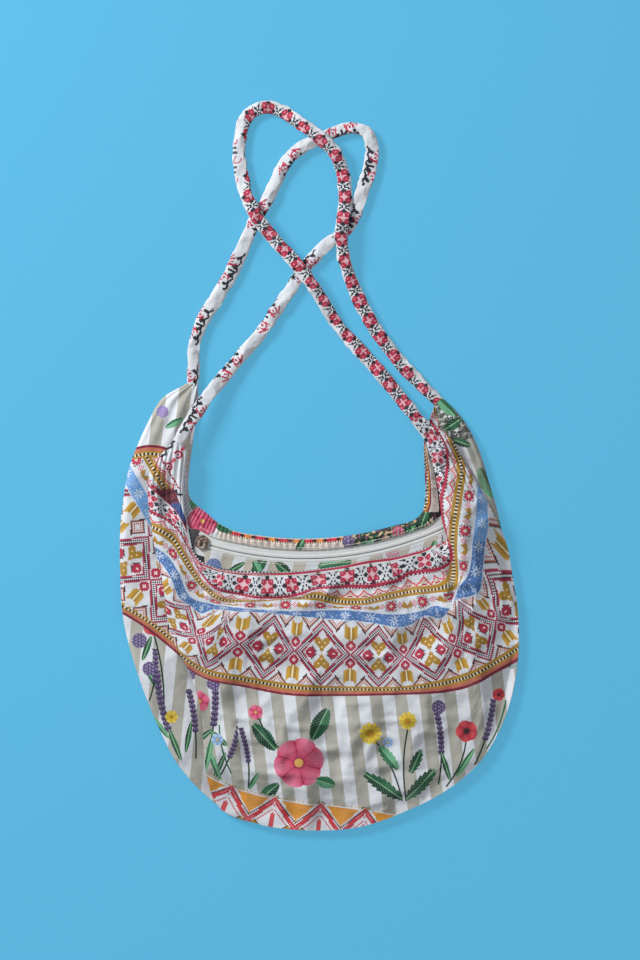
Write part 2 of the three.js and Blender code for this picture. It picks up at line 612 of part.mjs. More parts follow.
function sliderPlate(low, high) {
  const halfLength = SLIDER_LENGTH / 2;
  const halfWidth = SLIDER_WIDTH / 2;
  const corner = SLIDER_CORNER;
  const shape = new THREE.Shape();
  shape.moveTo(-halfLength, -halfWidth + corner);
  shape.quadraticCurveTo(-halfLength, -halfWidth, -halfLength + corner, -halfWidth);
  shape.lineTo(halfLength - corner, -halfWidth);
  shape.quadraticCurveTo(halfLength, -halfWidth, halfLength, -halfWidth + corner);
  shape.lineTo(halfLength, halfWidth - corner);
  shape.quadraticCurveTo(halfLength, halfWidth, halfLength - corner, halfWidth);
  shape.lineTo(-halfLength + corner, halfWidth);
  shape.quadraticCurveTo(-halfLength, halfWidth, -halfLength, halfWidth - corner);
  const depth = high - low;
  const geometry = new THREE.ExtrudeGeometry(shape, { depth, bevelEnabled: false, curveSegments: 4 });
  geometry.translate(0, 0, low);
  return geometry;
}

function sliderBody() {
  const bottomHigh = -GAP - COIL_HEIGHT - GAP;
  const postHalf = TAPE_SLOT / 2 - GAP;
  const postEnd = SLIDER_LENGTH / 2 - POST_INSET;
  const foot = BRIDGE_THICK;
  const reach = BRIDGE_LENGTH / 2;
  const side = BRIDGE_WIDTH / 2;
  const footBottom = PLATE_TOP - SUNK;
  return join([
    sliderPlate(PLATE_BOTTOM, PLATE_TOP),
    sliderPlate(bottomHigh - SLIDER_PLATE, bottomHigh),
    box(postEnd - POST_LENGTH, postEnd, -postHalf, postHalf, bottomHigh - SUNK, footBottom),
    box(-reach, reach, -side, side, BRIDGE_BOTTOM, BRIDGE_TOP),
    box(-reach, -reach + foot, -side, side, footBottom, BRIDGE_TOP),
    box(reach - foot, reach, -side, side, footBottom, BRIDGE_TOP),
  ]);
}

function pullTab() {
  const half = PULL_WIDTH / 2;
  const bar = PULL_BAR / 2;
  const low = PIVOT_HEIGHT - PULL_THICK / 2;
  const high = PIVOT_HEIGHT + PULL_THICK / 2;
  const opening = BRIDGE_LENGTH / 2 + GAP + PULL_SLACK;
  const armEnd = opening + SUNK;
  return join([
    box(-bar, bar, -half, half, PIVOT_HEIGHT - bar, PIVOT_HEIGHT + bar),
    box(0, armEnd, half - PULL_ARM, half, low, high),
    box(0, armEnd, -half, -half + PULL_ARM, low, high),
    box(opening, PULL_LENGTH, -half, half, low, high),
  ]);
}

function addSlider() {
  const [x, y] = besideZip(radians(SLIDER_ANGLE), 0);
  const holder = new THREE.Group();
  holder.position.copy(onSheet(x, y, ZIP_RISE));
  holder.rotation.z = radians(SLIDER_ANGLE);
  bag.add(holder);
  addMesh('zip_slider', sliderBody(), ZIP_METAL, holder);
  addMesh('zip_pull_tab', pullTab(), ZIP_METAL, holder);
}

// Strap loops, as places on the sheet and heights of the centre line above the table
const LOW = FLAT_STRAP;
const HIGH = FLAT_STRAP + STRAP_HEIGHT + GAP;
const LEFT_LOOP = [
  [193.4, 366, LOW], [194.4, 345, LOW], [203, 320, LOW], [216, 300, LOW], [227.5, 280, LOW],
  [237.5, 260, LOW], [247, 238, LOW], [257, 218, LOW], [267, 200, LOW], [277, 180, LOW],
  [287, 161, LOW], [301, 148.5, LOW], [319, 139.5, LOW], [336, 132.5, LOW], [354, 128.5, LOW],
  [367, 134, LOW], [372, 150, LOW], [369, 171, LOW], [362, 193, LOW], [354.5, 214, LOW],
  [342, 233.5, LOW], [325, 247, LOW], [307, 266, LOW], [293, 286, LOW], [277, 310, LOW],
  [257, 338, LOW], [238, 361, LOW + 1], [219, 383, LOW + 4], [203, 404, LOW + 8],
];
const RIGHT_LOOP = [
  [426, 390.4, LOW], [406, 369, LOW], [388, 347, LOW], [371.5, 323, LOW], [359, 301, LOW],
  [350, 279, LOW], [344, 260, LOW + 4.6], [340.6, 238, HIGH], [343, 218, HIGH - 1.4], [345, 196, LOW + 2.4],
  [342.5, 173, LOW + 3.2], [334, 153, HIGH - 0.8], [318, 137.6, HIGH], [300, 124, LOW + 4.6], [284, 113, LOW],
  [265, 107.6, LOW], [248.6, 115, LOW], [241, 132, LOW], [239.4, 154, LOW], [242, 177, LOW + 1],
  [247.4, 198, LOW + 5.4], [256.6, 217.6, HIGH], [270, 235, HIGH - 1.6], [287, 254, HIGH - 1.6],
  [303.6, 273.6, HIGH], [319, 296, LOW + 4.6], [336, 322.6, LOW], [356, 346.6, LOW],
  [378, 371, LOW], [397, 393.6, LOW + 2.4],
];

// A mouth's place moved along its strap, so that the tube starts a small gap beyond the horn
function beyondMouth(mouth, distance) {
  const along = new THREE.Vector2(...mouth.along).normalize();
  return onSheet(mouth.x + along.x * distance, mouth.y + along.y * distance, mouth.height);
}

function strapTube(start, route, end) {
  const points = [
    beyondMouth(start, MOUTH_GAP),
    beyondMouth(start, MOUTH_GAP + STRAP_LEAD),
    ...route.map(([x, y, z]) => onSheet(x, y, z)),
    beyondMouth(end, MOUTH_GAP + STRAP_LEAD),
    beyondMouth(end, MOUTH_GAP),
  ];
  const path = new THREE.CatmullRomCurve3(points, false, 'centripetal');
  const section = new THREE.Shape(Array.from({ length: STRAP_SIDES }, (_, i) => {
    const angle = 2 * Math.PI * (i + 0.5) / STRAP_SIDES;
    return new THREE.Vector2(STRAP_HEIGHT / 2 * Math.cos(angle), STRAP_WIDTH / 2 * Math.sin(angle));
  }));
  const steps = Math.ceil(path.getLength() / STRAP_STEP);
  return new THREE.ExtrudeGeometry(section, { steps, extrudePath: path, bevelEnabled: false });
}

addMesh('back_panel', backPanel(), PRINTED_CLOTH);
addMesh('front_panel', frontPanel(), PRINTED_CLOTH);
addMesh('front_zip_facing', frontFacing(), PRINTED_CLOTH);
addMesh('back_rim_facing', rimFacing(), DARK_PRINT);
addZipStrips();
addStops();
addMesh('zip_end_patch', endPatch(), DARK_PRINT);
addSlider();
addMesh('strap_left_loop', strapTube(MOUTHS.leftBack, LEFT_LOOP, MOUTHS.leftFront), STRAP_CLOTH);
addMesh('strap_right_loop', strapTube(MOUTHS.rightBack, RIGHT_LOOP, MOUTHS.rightFront), STRAP_CLOTH);

export default bag;
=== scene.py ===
"""Dresses a slouch shoulder bag of printed cloth that lies flat and empty with its zip shut.

Lengths are in millimetres until a mesh is made of them, but those of the studio are in metres.
Places on the cloth are read on a flat layout sheet, x to the right and y down from its corner.
"""
from __future__ import annotations

import logging
import math
from dataclasses import dataclass
from enum import Enum
from typing import Callable, Iterable, Sequence

import bpy
import numpy as np
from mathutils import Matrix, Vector
from mathutils.kdtree import KDTree


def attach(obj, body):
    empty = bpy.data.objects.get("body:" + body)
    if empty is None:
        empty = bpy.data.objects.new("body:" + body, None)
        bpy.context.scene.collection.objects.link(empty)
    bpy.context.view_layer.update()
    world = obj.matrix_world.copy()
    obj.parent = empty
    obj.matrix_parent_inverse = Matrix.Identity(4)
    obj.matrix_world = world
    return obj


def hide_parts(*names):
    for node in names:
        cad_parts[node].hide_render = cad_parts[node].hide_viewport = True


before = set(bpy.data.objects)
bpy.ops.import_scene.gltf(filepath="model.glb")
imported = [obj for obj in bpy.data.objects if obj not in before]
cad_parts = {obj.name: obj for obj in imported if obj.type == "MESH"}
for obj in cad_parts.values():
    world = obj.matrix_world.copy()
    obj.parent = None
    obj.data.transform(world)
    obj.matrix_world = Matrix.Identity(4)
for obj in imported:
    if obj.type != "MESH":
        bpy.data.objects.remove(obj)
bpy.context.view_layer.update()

log = logging.getLogger("bag")

Colour = tuple[float, float, float]
Array = np.ndarray

SHEET_CENTRE = (319.3, 606.6)
MM = 0.001
FINE_BUMP = 0.0001
THREAD_SIDES = 6
GAP = 0.3
CLOTH = 1.6
FACING = 1.0


def rgb(red: int, green: int, blue: int) -> Colour:
    """Turns a colour of 0 to 255 a channel, as a screen shows it, into linear values."""
    def linear(value: int) -> float:
        """Turns one channel into its linear value."""
        share = value / 255
        return share / 12.92 if share <= 0.04045 else ((share + 0.055) / 1.055) ** 2.4
    return (linear(red), linear(green), linear(blue))


WHITE = rgb(225, 229, 235)
CREAM = rgb(226, 218, 196)
BEIGE = rgb(181, 180, 170)
RED = rgb(186, 52, 78)
PINK = rgb(222, 104, 124)
PLUM = rgb(128, 34, 58)
INK = rgb(44, 46, 54)
OCHRE = rgb(180, 138, 52)
OLIVE = rgb(128, 98, 40)
SALMON = rgb(196, 116, 92)
BLUE = rgb(84, 124, 182)
SKY = rgb(176, 202, 234)
GREEN = rgb(34, 104, 68)
DARK_GREEN = rgb(22, 56, 42)
PALE_GREEN = rgb(120, 190, 146)
PURPLE = rgb(82, 64, 106)
BLUSH = rgb(250, 220, 222)
LIGHT_RED = rgb(208, 84, 90)
ROSE = rgb(206, 90, 108)
POWDER = rgb(120, 168, 220)
STRAW = rgb(220, 190, 90)


class Graph:
    """The node graph of one material, with a short way to add a node."""

    def __init__(self, name: str) -> None:
        """Makes an empty material.

        Args:
            name: the material's name.
        """
        self.material = bpy.data.materials.new(name)
        self.material.use_nodes = True
        self.tree = self.material.node_tree
        self.tree.nodes.clear()

    def node(self, kind: str, settings: dict | None = None, inputs: dict | None = None) -> bpy.types.Node:
        """Adds a node.

        Args:
            kind: the node's type.
            settings: what is set on the node before its sockets.
            inputs: values or links of its sockets, by index or name.

        Returns:
            The new node.
        """
        made = self.tree.nodes.new(kind)
        for key, value in (settings or {}).items():
            setattr(made, key, value)
        for key, value in (inputs or {}).items():
            socket = made.inputs[key]
            if isinstance(value, (Field, Paint)):
                value = value.socket
            if isinstance(value, bpy.types.NodeSocket):
                self.tree.links.new(value, socket)
            elif socket.type == "RGBA":
                socket.default_value = (*value, 1.0)
            else:
                socket.default_value = value
        return made

    def math(self, operation: str, *values: "Field | float") -> "Field":
        """Adds a Math node and returns its result."""
        made = self.node("ShaderNodeMath", {"operation": operation}, dict(enumerate(values)))
        return Field(self, made.outputs[0])

    def place(self) -> bpy.types.NodeSocket:
        """Adds a Texture Coordinate node and returns the places in the object's own frame."""
        return self.node("ShaderNodeTexCoord").outputs["Object"]

    def noise(self, place: bpy.types.NodeSocket, scale: float, detail: float) -> "Field":
        """Adds a Noise Texture node and returns its shades."""
        values = {"Vector": place, "Scale": scale, "Detail": detail}
        return Field(self, self.node("ShaderNodeTexNoise", inputs=values).outputs[0])

    def bump(self, height: "Field", distance: float, strength: float) -> bpy.types.NodeSocket:
        """Adds a Bump node and returns the normals that it makes."""
        values = {"Strength": strength, "Distance": distance, "Height": height}
        return self.node("ShaderNodeBump", inputs=values).outputs[0]

    def surface(self, values: dict) -> bpy.types.Material:
        """Ends the graph in a shader.

        Args:
            values: values or links of the shader's sockets, by name.

        Returns:
            The material.
        """
        shader = self.node("ShaderNodeBsdfPrincipled", inputs=values)
        self.node("ShaderNodeOutputMaterial", inputs={"Surface": shader.outputs[0]})
        return self.material


class Field:
    """A number at each place of a surface, which Python's operators work on."""

    def __init__(self, graph: Graph, socket: bpy.types.NodeSocket) -> None:
        """Wraps a socket of a graph."""
        self.graph = graph
        self.socket = socket

    def __add__(self, other: "Field | float") -> "Field":
        """Adds."""
        return self.graph.math("ADD", self, other)

    __radd__ = __add__

    def __sub__(self, other: "Field | float") -> "Field":
        """Subtracts."""
        return self.graph.math("SUBTRACT", self, other)

    def __rsub__(self, other: "Field | float") -> "Field":
        """Subtracts from a number."""
        return self.graph.math("SUBTRACT", other, self)

    def __mul__(self, other: "Field | float") -> "Field":
        """Multiplies, which also joins two masks where both hold."""
        return self.graph.math("MULTIPLY", self, other)

    __rmul__ = __mul__

    def __truediv__(self, other: "Field | float") -> "Field":
        """Divides."""
        return self.graph.math("DIVIDE", self, other)

    def __lt__(self, other: "Field | float") -> "Field":
        """A mask of where this is below the other."""
        return self.graph.math("LESS_THAN", self, other)

    def __gt__(self, other: "Field | float") -> "Field":
        """A mask of where this is above the other."""
        return self.graph.math("GREATER_THAN", self, other)

    def __or__(self, other: "Field") -> "Field":
        """A mask of where either mask holds."""
        return self.graph.math("MAXIMUM", self, other)

    def __abs__(self) -> "Field":
        """The size without its sign."""
        return self.graph.math("ABSOLUTE", self)

    def unary(self, operation: str) -> "Field":
        """The result of a Math node with one value."""
        return self.graph.math(operation, self)

    def between(self, low: float, high: float) -> "Field":
        """A mask of where this lies between two numbers."""
        middle = (low + high) / 2
        return abs(self - middle) < (high - low) / 2

    def positive(self) -> "Field":
        """This where it is above zero, and zero elsewhere."""
        return self.graph.math("MAXIMUM", self, 0.0)

    def phase(self, pitch: float) -> "Field":
        """How far each place is through a repeat of some pitch, from 0 to 1."""
        return (self / pitch).unary("FRACT")

    def stitched(self, size: float) -> "Field":
        """The middle of the stitch that this length falls in."""
        return ((self / size).unary("FLOOR") + 0.5) * size

    def repeated(self, pitch: float) -> "Field":
        """The distance from the nearest multiple of a pitch, with its sign."""
        return ((self / pitch + 0.5).unary("FRACT") - 0.5) * pitch


def span(a: Field, b: Field) -> Field:
    """The distance whose parts are two fields."""
    return (a * a + b * b).unary("SQRT")


class Paint:
    """A colour all over a surface, built up by laying colours over one another."""

    def __init__(self, graph: Graph, ground: Colour) -> None:
        """Starts from one ground colour."""
        self.graph = graph
        base = graph.node("ShaderNodeMix", {"data_type": "RGBA"}, {0: 0.0, 6: ground, 7: ground})
        self.socket = base.outputs[2]

    def lay(self, mask: Field | float, colour: Colour) -> "Paint":
        """Lays a colour over the paint where a mask holds.

        Args:
            mask: where and how strongly the colour covers.
            colour: the colour that is laid.

        Returns:
            The paint itself.
        """
        made = self.graph.node("ShaderNodeMix", {"data_type": "RGBA"}, {0: mask, 6: self.socket, 7: colour})
        self.socket = made.outputs[2]
        return self


@dataclass
class Print:
    """What a print is drawn with: its graph, the paint and the places on the cloth.

    u and v run along and across a band of the print, x and y are places on the layout sheet.
    """

    graph: Graph
    paint: Paint
    u: Field
    v: Field
    x: Field
    y: Field

    def lay(self, mask: Field | float, colour: Colour) -> None:
        """Lays a colour over the paint where a mask holds."""
        self.paint.lay(mask, colour)

    def moved(self, u: Field, v: Field) -> "Print":
        """The same print with other places along and across the band."""
        return Print(self.graph, self.paint, u, v, self.x, self.y)


@dataclass(frozen=True)
class ClothFinish:
    """How a cloth's surface takes the light."""

    roughness: float = 0.82
    sheen: float = 0.12
    specular: float = 0.25
    thread: float = 0.55
    thread_shade: float = 0.035
    weave_depth: float = 0.025
    crease_depth: float = 0.8
    crease_scale: float = 70.0
    wrinkle_depth: float = 9.0
    wrinkle_scale: float = 21.0
    wrinkle_drift: float = 0.02
    cloud_scale: float = 34.0
    bump: float = 0.9


PRINTED = ClothFinish()
STRAP_FINISH = ClothFinish(crease_depth=1.2, crease_scale=110.0, wrinkle_depth=5.0, wrinkle_scale=52.0)
RIM_FINISH = ClothFinish(wrinkle_depth=3.4, wrinkle_scale=70.0)
TAPE_FINISH = ClothFinish(roughness=0.75, thread=0.8, weave_depth=0.05, crease_depth=0.2, wrinkle_depth=0.3)


def cloth_material(name: str, ground: Colour, draw: Callable[[Print], None],
                   finish: ClothFinish = PRINTED) -> bpy.types.Material:
    """Makes the material of a printed cloth.

    Args:
        name: the material's name.
        ground: the colour of the unprinted cloth.
        draw: lays the print over the ground.
        finish: how the cloth takes the light.

    Returns:
        The material.
    """
    graph = Graph(name)
    band = graph.node("ShaderNodeUVMap", {"uv_map": "print"})
    sheet = graph.node("ShaderNodeUVMap", {"uv_map": "sheet"})
    uv = graph.node("ShaderNodeSeparateXYZ", inputs={0: band.outputs[0]})
    xy = graph.node("ShaderNodeSeparateXYZ", inputs={0: sheet.outputs[0]})
    u, v = (Field(graph, uv.outputs[i]) for i in (0, 1))
    x, y = (Field(graph, xy.outputs[i]) for i in (0, 1))
    paint = Paint(graph, ground)
    draw(Print(graph, paint, u, v, x, y))
    turn = 2 * math.pi / finish.thread
    threads = (x * turn).unary("SINE") * (y * turn).unary("SINE")
    paint.lay((threads + 1.0) * finish.thread_shade, rgb(90, 88, 92))
    place = graph.place()
    cloud = graph.node(
        "ShaderNodeTexNoise", inputs={"Vector": place, "Scale": finish.cloud_scale, "Detail": 3.0},
    )
    paint.lay(((Field(graph, cloud.outputs[0]) - 0.5) * 0.5).positive(), rgb(150, 150, 158))
    crease = graph.node("ShaderNodeTexNoise", inputs={
        "Vector": place, "Scale": finish.crease_scale, "Detail": 4.0, "Roughness": 0.55,
    })
    drift = graph.node("ShaderNodeVectorMath", {"operation": "SCALE"}, {
        0: cloud.outputs[1], "Scale": finish.wrinkle_drift,
    })
    moved = graph.node("ShaderNodeVectorMath", {"operation": "ADD"}, {0: place, 1: drift.outputs[0]})
    wrinkle = graph.node(
        "ShaderNodeTexVoronoi", {"feature": "SMOOTH_F1"},
        {"Vector": moved.outputs[0], "Scale": finish.wrinkle_scale, "Smoothness": 0.2},
    )
    height = Field(graph, crease.outputs[0]) * finish.crease_depth + threads * finish.weave_depth
    height = height + Field(graph, wrinkle.outputs["Distance"]) * finish.wrinkle_depth
    return graph.surface({
        "Base Color": paint,
        "Roughness": finish.roughness,
        "Sheen Weight": finish.sheen,
        "Specular IOR Level": finish.specular,
        "Normal": graph.bump(height, MM, finish.bump),
    })


def smooth_curve(points: Array, count: int) -> Array:
    """Samples centripetal Catmull-Rom curves through an array of points.

    Args:
        points: the points, along the first axis, of one curve or of many side by side.
        count: how many points each curve gets.

    Returns:
        The points on the curves.
    """
    padded = np.concatenate([2 * points[:1] - points[1:2], points, 2 * points[-1:] - points[-2:-1]])
    squares = ((padded[1:] - padded[:-1]) ** 2).sum(-1, keepdims=True)
    gaps = np.maximum(squares ** 0.25, 1e-4)
    place = np.linspace(0, len(points) - 1, count)
    index = np.minimum(place.astype(int), len(points) - 2)
    share = (place - index).reshape(-1, *[1] * (points.ndim - 1))
    p0, p1, p2, p3 = (padded[index + k] for k in range(4))
    d0, d1, d2 = (gaps[index + k] for k in range(3))
    leave = ((p1 - p0) / d0 - (p2 - p0) / (d0 + d1) + (p2 - p1) / d1) * d1
    reach = ((p2 - p1) / d1 - (p3 - p1) / (d1 + d2) + (p3 - p2) / d2) * d1
    square = 3 * (p2 - p1) - 2 * leave - reach
    cube = 2 * (p1 - p2) + leave + reach
    return p1 + share * (leave + share * (square + share * cube))


def loft(ribs: Array, rows: int, columns: int) -> Array:
    """Makes a net of points through ribs, which are lists of equally many points.

    Args:
        ribs: the points, rib by rib.
        rows: how many points the net has from the first rib to the last.
        columns: how many points the net has along each rib.

    Returns:
        The net, row by row.
    """
    across = smooth_curve(ribs.transpose(1, 0, 2), columns)
    return smooth_curve(across.transpose(1, 0, 2), rows)


def net_normals(net: Array) -> Array:
    """The unit normals of a net of points."""
    normal = np.cross(np.gradient(net, axis=1), np.gradient(net, axis=0))
    return normal / np.linalg.norm(normal, axis=-1, keepdims=True)


def on_sheet(places: Array) -> Array:
    """Turns places of the layout sheet, with their heights, into the bag's own frame."""
    made = np.array(places, dtype=float)
    made[..., 0] -= SHEET_CENTRE[0]
    made[..., 1] = SHEET_CENTRE[1] - made[..., 1]
    return made


def sheet_places(points: Array) -> Array:
    """The places on the layout sheet above which points of the bag lie."""
    return np.stack([points[..., 0] + SHEET_CENTRE[0], SHEET_CENTRE[1] - points[..., 1]], axis=-1)


def lengths_along(points: Array) -> Array:
    """How far along a line each of its points is."""
    return np.concatenate([[0.0], np.cumsum(np.linalg.norm(np.diff(points, axis=0), axis=1))])


def even_steps(points: Array, step: float) -> Array:
    """Places points a step apart along a line."""
    gone = lengths_along(points)
    wanted = np.linspace(0, gone[-1], max(2, round(gone[-1] / step) + 1))
    return np.stack([np.interp(wanted, gone, points[:, k]) for k in range(points.shape[1])], axis=1)


LATTICE = 61


def soft_noise(x: Array, y: Array, size: float, seed: int) -> Array:
    """Smooth chance heights over a surface.

    Args:
        x: places along the surface.
        y: places across the surface.
        size: how far apart the heights are chosen.
        seed: names one choice of heights.

    Returns:
        Heights from -1 to 1.
    """
    lattice = np.random.default_rng(seed).uniform(-1, 1, (LATTICE, LATTICE))
    u, v = np.asarray(x) / size, np.asarray(y) / size
    i, j = np.floor(u).astype(int), np.floor(v).astype(int)
    s, t = u - i, v - j
    s, t = s * s * (3 - 2 * s), t * t * (3 - 2 * t)

    def corner(di: int, dj: int) -> Array:
        """The heights at one corner of each place's cell."""
        return lattice[(i + di) % LATTICE, (j + dj) % LATTICE]

    near = corner(0, 0) * (1 - s) + corner(1, 0) * s
    far = corner(0, 1) * (1 - s) + corner(1, 1) * s
    return near * (1 - t) + far * t


def crumple(x: Array, y: Array, size: float, seed: int) -> Array:
    """Creases with sharp ridges and soft hollows, from -1 to 1."""
    bent = x + 0.5 * size * soft_noise(x, y, size * 1.3, seed + 1)
    return 1 - 2.6 * np.abs(soft_noise(bent, y, size, seed)) ** 0.8


def crumples(x: Array, y: Array, waves: Sequence[tuple[float, float, int]]) -> Array:
    """Creases of several sizes over one another, each turned across the one before.

    Args:
        x: places along the surface.
        y: places across the surface.
        waves: the height, size and seed of each.

    Returns:
        Their heights together.
    """
    total = 0.0
    for height, size, seed in waves:
        total = total + height * crumple(x, y, size, seed)
        x, y = y, x
    return total


def edge_fade(count: int, share: float) -> Array:
    """Weights that rise from 0 at both ends of a row of points, over a share of it."""
    place = np.arange(count)
    return np.clip(np.minimum(place, count - 1 - place) / (share * (count - 1)), 0, 1)


@dataclass
class MeshData:
    """A mesh in the making: corners, faces, and what each face and face corner is dressed with."""

    points: Array
    faces: Array
    kinds: Array | None = None
    print_places: Array | None = None
    sheet_places: Array | None = None


def build_mesh(name: str, data: MeshData, materials: Sequence[bpy.types.Material]) -> bpy.types.Object:
    """Makes an object of a mesh.

    Args:
        name: the object's name.
        data: the mesh, in millimetres.
        materials: what the faces are made of, by kind.

    Returns:
        The object, which sits at the origin.
    """
    mesh = bpy.data.meshes.new(name)
    faces = data.faces
    corners = data.points[faces]
    volume = np.einsum("ij,ij->", corners[:, 0], np.cross(corners[:, 1], corners[:, 2]))
    volume += np.einsum("ij,ij->", corners[:, 0], np.cross(corners[:, 2], corners[:, 3]))
    turned = volume < 0
    if turned:
        faces = faces[:, ::-1]
    mesh.from_pydata((data.points * MM).tolist(), [], faces.tolist())
    mesh.polygons.foreach_set("use_smooth", np.ones(len(faces), bool))
    mesh.set_sharp_from_angle(angle=math.radians(55))
    if data.kinds is not None:
        mesh.polygons.foreach_set("material_index", data.kinds.astype(np.int32))
    for uv_name, places in (("print", data.print_places), ("sheet", data.sheet_places)):
        if places is not None:
            ordered = places[:, ::-1] if turned else places
            mesh.uv_layers.new(name=uv_name).uv.foreach_set("vector", ordered.astype(np.float32).ravel())
    for material in materials:
        mesh.materials.append(material)
    mesh.update()
    made = bpy.data.objects.new(name, mesh)
    bpy.context.scene.collection.objects.link(made)
    return made


def net_faces(rows: int, columns: int, closed: bool = False) -> Array:
    """The faces of one layer of a net, which is closed where its last column meets its first."""
    index = np.arange(rows * columns).reshape(rows, columns)
    if closed:
        index = np.concatenate([index, index[:, :1]], axis=1)
    square = [index[:-1, :-1], index[1:, :-1], index[1:, 1:], index[:-1, 1:]]
    return np.stack(square, axis=-1).reshape(-1, 4)


def cloth_layers(net: Array, thickness: float, shift: float = 0.0) -> tuple[Array, Array]:
    """Gives a net of points the thickness of its cloth.

    Args:
        net: the points of the cloth's middle.
        thickness: the cloth's thickness.
        shift: how far the cloth moves along its normals.

    Returns:
        The points of both sides, and the faces of the closed sheet.
    """
    normals = net_normals(net)
    rows, columns = net.shape[:2]
    layers = [(net + normals * (shift + side * thickness / 2)).reshape(-1, 3) for side in (1, -1)]
    index = np.arange(rows * columns).reshape(rows, columns)
    count = rows * columns
    faces = net_faces(rows, columns)
    ring = np.concatenate([index[:-1, 0], index[-1, :-1], index[:0:-1, -1], index[0, :0:-1]])
    after = np.roll(ring, -1)
    wall = np.stack([ring, ring + count, after + count, after], axis=-1)
    return np.concatenate(layers), np.concatenate([faces, faces[:, ::-1] + count, wall])


def tube(path: Array, sections: Array) -> tuple[Array, Array]:
    """Makes a tube along a path, with its ends drawn together.

    Args:
        path: the points of the path.
        sections: for each point of the path, the points of its section as across and up.

    Returns:
        The points and the faces.
    """
    tangent = np.gradient(path, axis=0)
    tangent /= np.linalg.norm(tangent, axis=1, keepdims=True)
    side = np.cross(tangent, (0.0, 0.0, 1.0))
    side /= np.linalg.norm(side, axis=1, keepdims=True)
    up = np.cross(side, tangent)
    points = path[:, None] + side[:, None] * sections[..., :1] + up[:, None] * sections[..., 1:]
    rows, columns = sections.shape[:2]
    faces = net_faces(rows, columns, closed=True)
    points = np.concatenate([points.reshape(-1, 3), path[:1], path[-1:]])
    around = np.arange(columns)
    ahead = np.roll(around, -1)
    start = np.full(columns, rows * columns)
    last = (rows - 1) * columns
    first_cap = np.stack([ahead, around, start, start], axis=-1)
    last_cap = np.stack([around + last, ahead + last, start + 1, start + 1], axis=-1)
    return points, np.concatenate([faces, first_cap, last_cap])


def thread_tube(path: Array, radius: float) -> tuple[Array, Array]:
    """Makes a round thread along a path.

    Args:
        path: the points of the path.
        radius: half its thickness.

    Returns:
        The points and the faces.
    """
    angle = np.linspace(0, 2 * np.pi, THREAD_SIDES, endpoint=False)
    ring = np.stack([np.cos(angle), np.sin(angle)], axis=-1) * radius
    return tube(path, np.broadcast_to(ring, (len(path), *ring.shape)))


class Band(Enum):
    """The materials of a printed panel, in the order of its material slots."""

    HEM_EDGE = 0
    ROSETTES = 1
    ZIGZAG = 2
    BEADS = 3
    HEARTS = 4
    SNOW = 5
    DIAMONDS = 6
    BORDER = 7
    STRIPES_LEFT = 8
    STRIPES_MIDDLE = 9
    STRIPES_RIGHT = 10
    HEM = 11
    SCROLLS = 12
    TURNED_DIAMONDS = 13
    LEAVES = 14
    BACK_MEADOW = 15
    HOLLOW = 16


@dataclass(frozen=True)
class Stitches:
    """Cross-stitch squares round the middle of a repeating motif.

    a and b are how far the square's middle is from the motif's, along and across the band.
    """

    a: Field
    b: Field
    odd: Field

    @classmethod
    def of(cls, p: Print, size: float, count: int, middle: float) -> "Stitches":
        """Squares of a band's print.

        Args:
            p: what the print is drawn with.
            size: the size of a square.
            count: how many squares the motif repeats after.
            middle: how far across the band the motif's middle lies.

        Returns:
            The squares.
        """
        column = (p.u / size).unary("FLOOR")
        row = ((p.v - middle) / size + 0.5).unary("FLOOR")
        odd = (column + row).phase(2.0) > 0.25
        a = (column * size).repeated(size * count)
        return cls(a, row * size, odd)

    @property
    def far_a(self) -> Field:
        """The distance along the band, without its sign."""
        return abs(self.a)

    @property
    def far_b(self) -> Field:
        """The distance across the band, without its sign."""
        return abs(self.b)


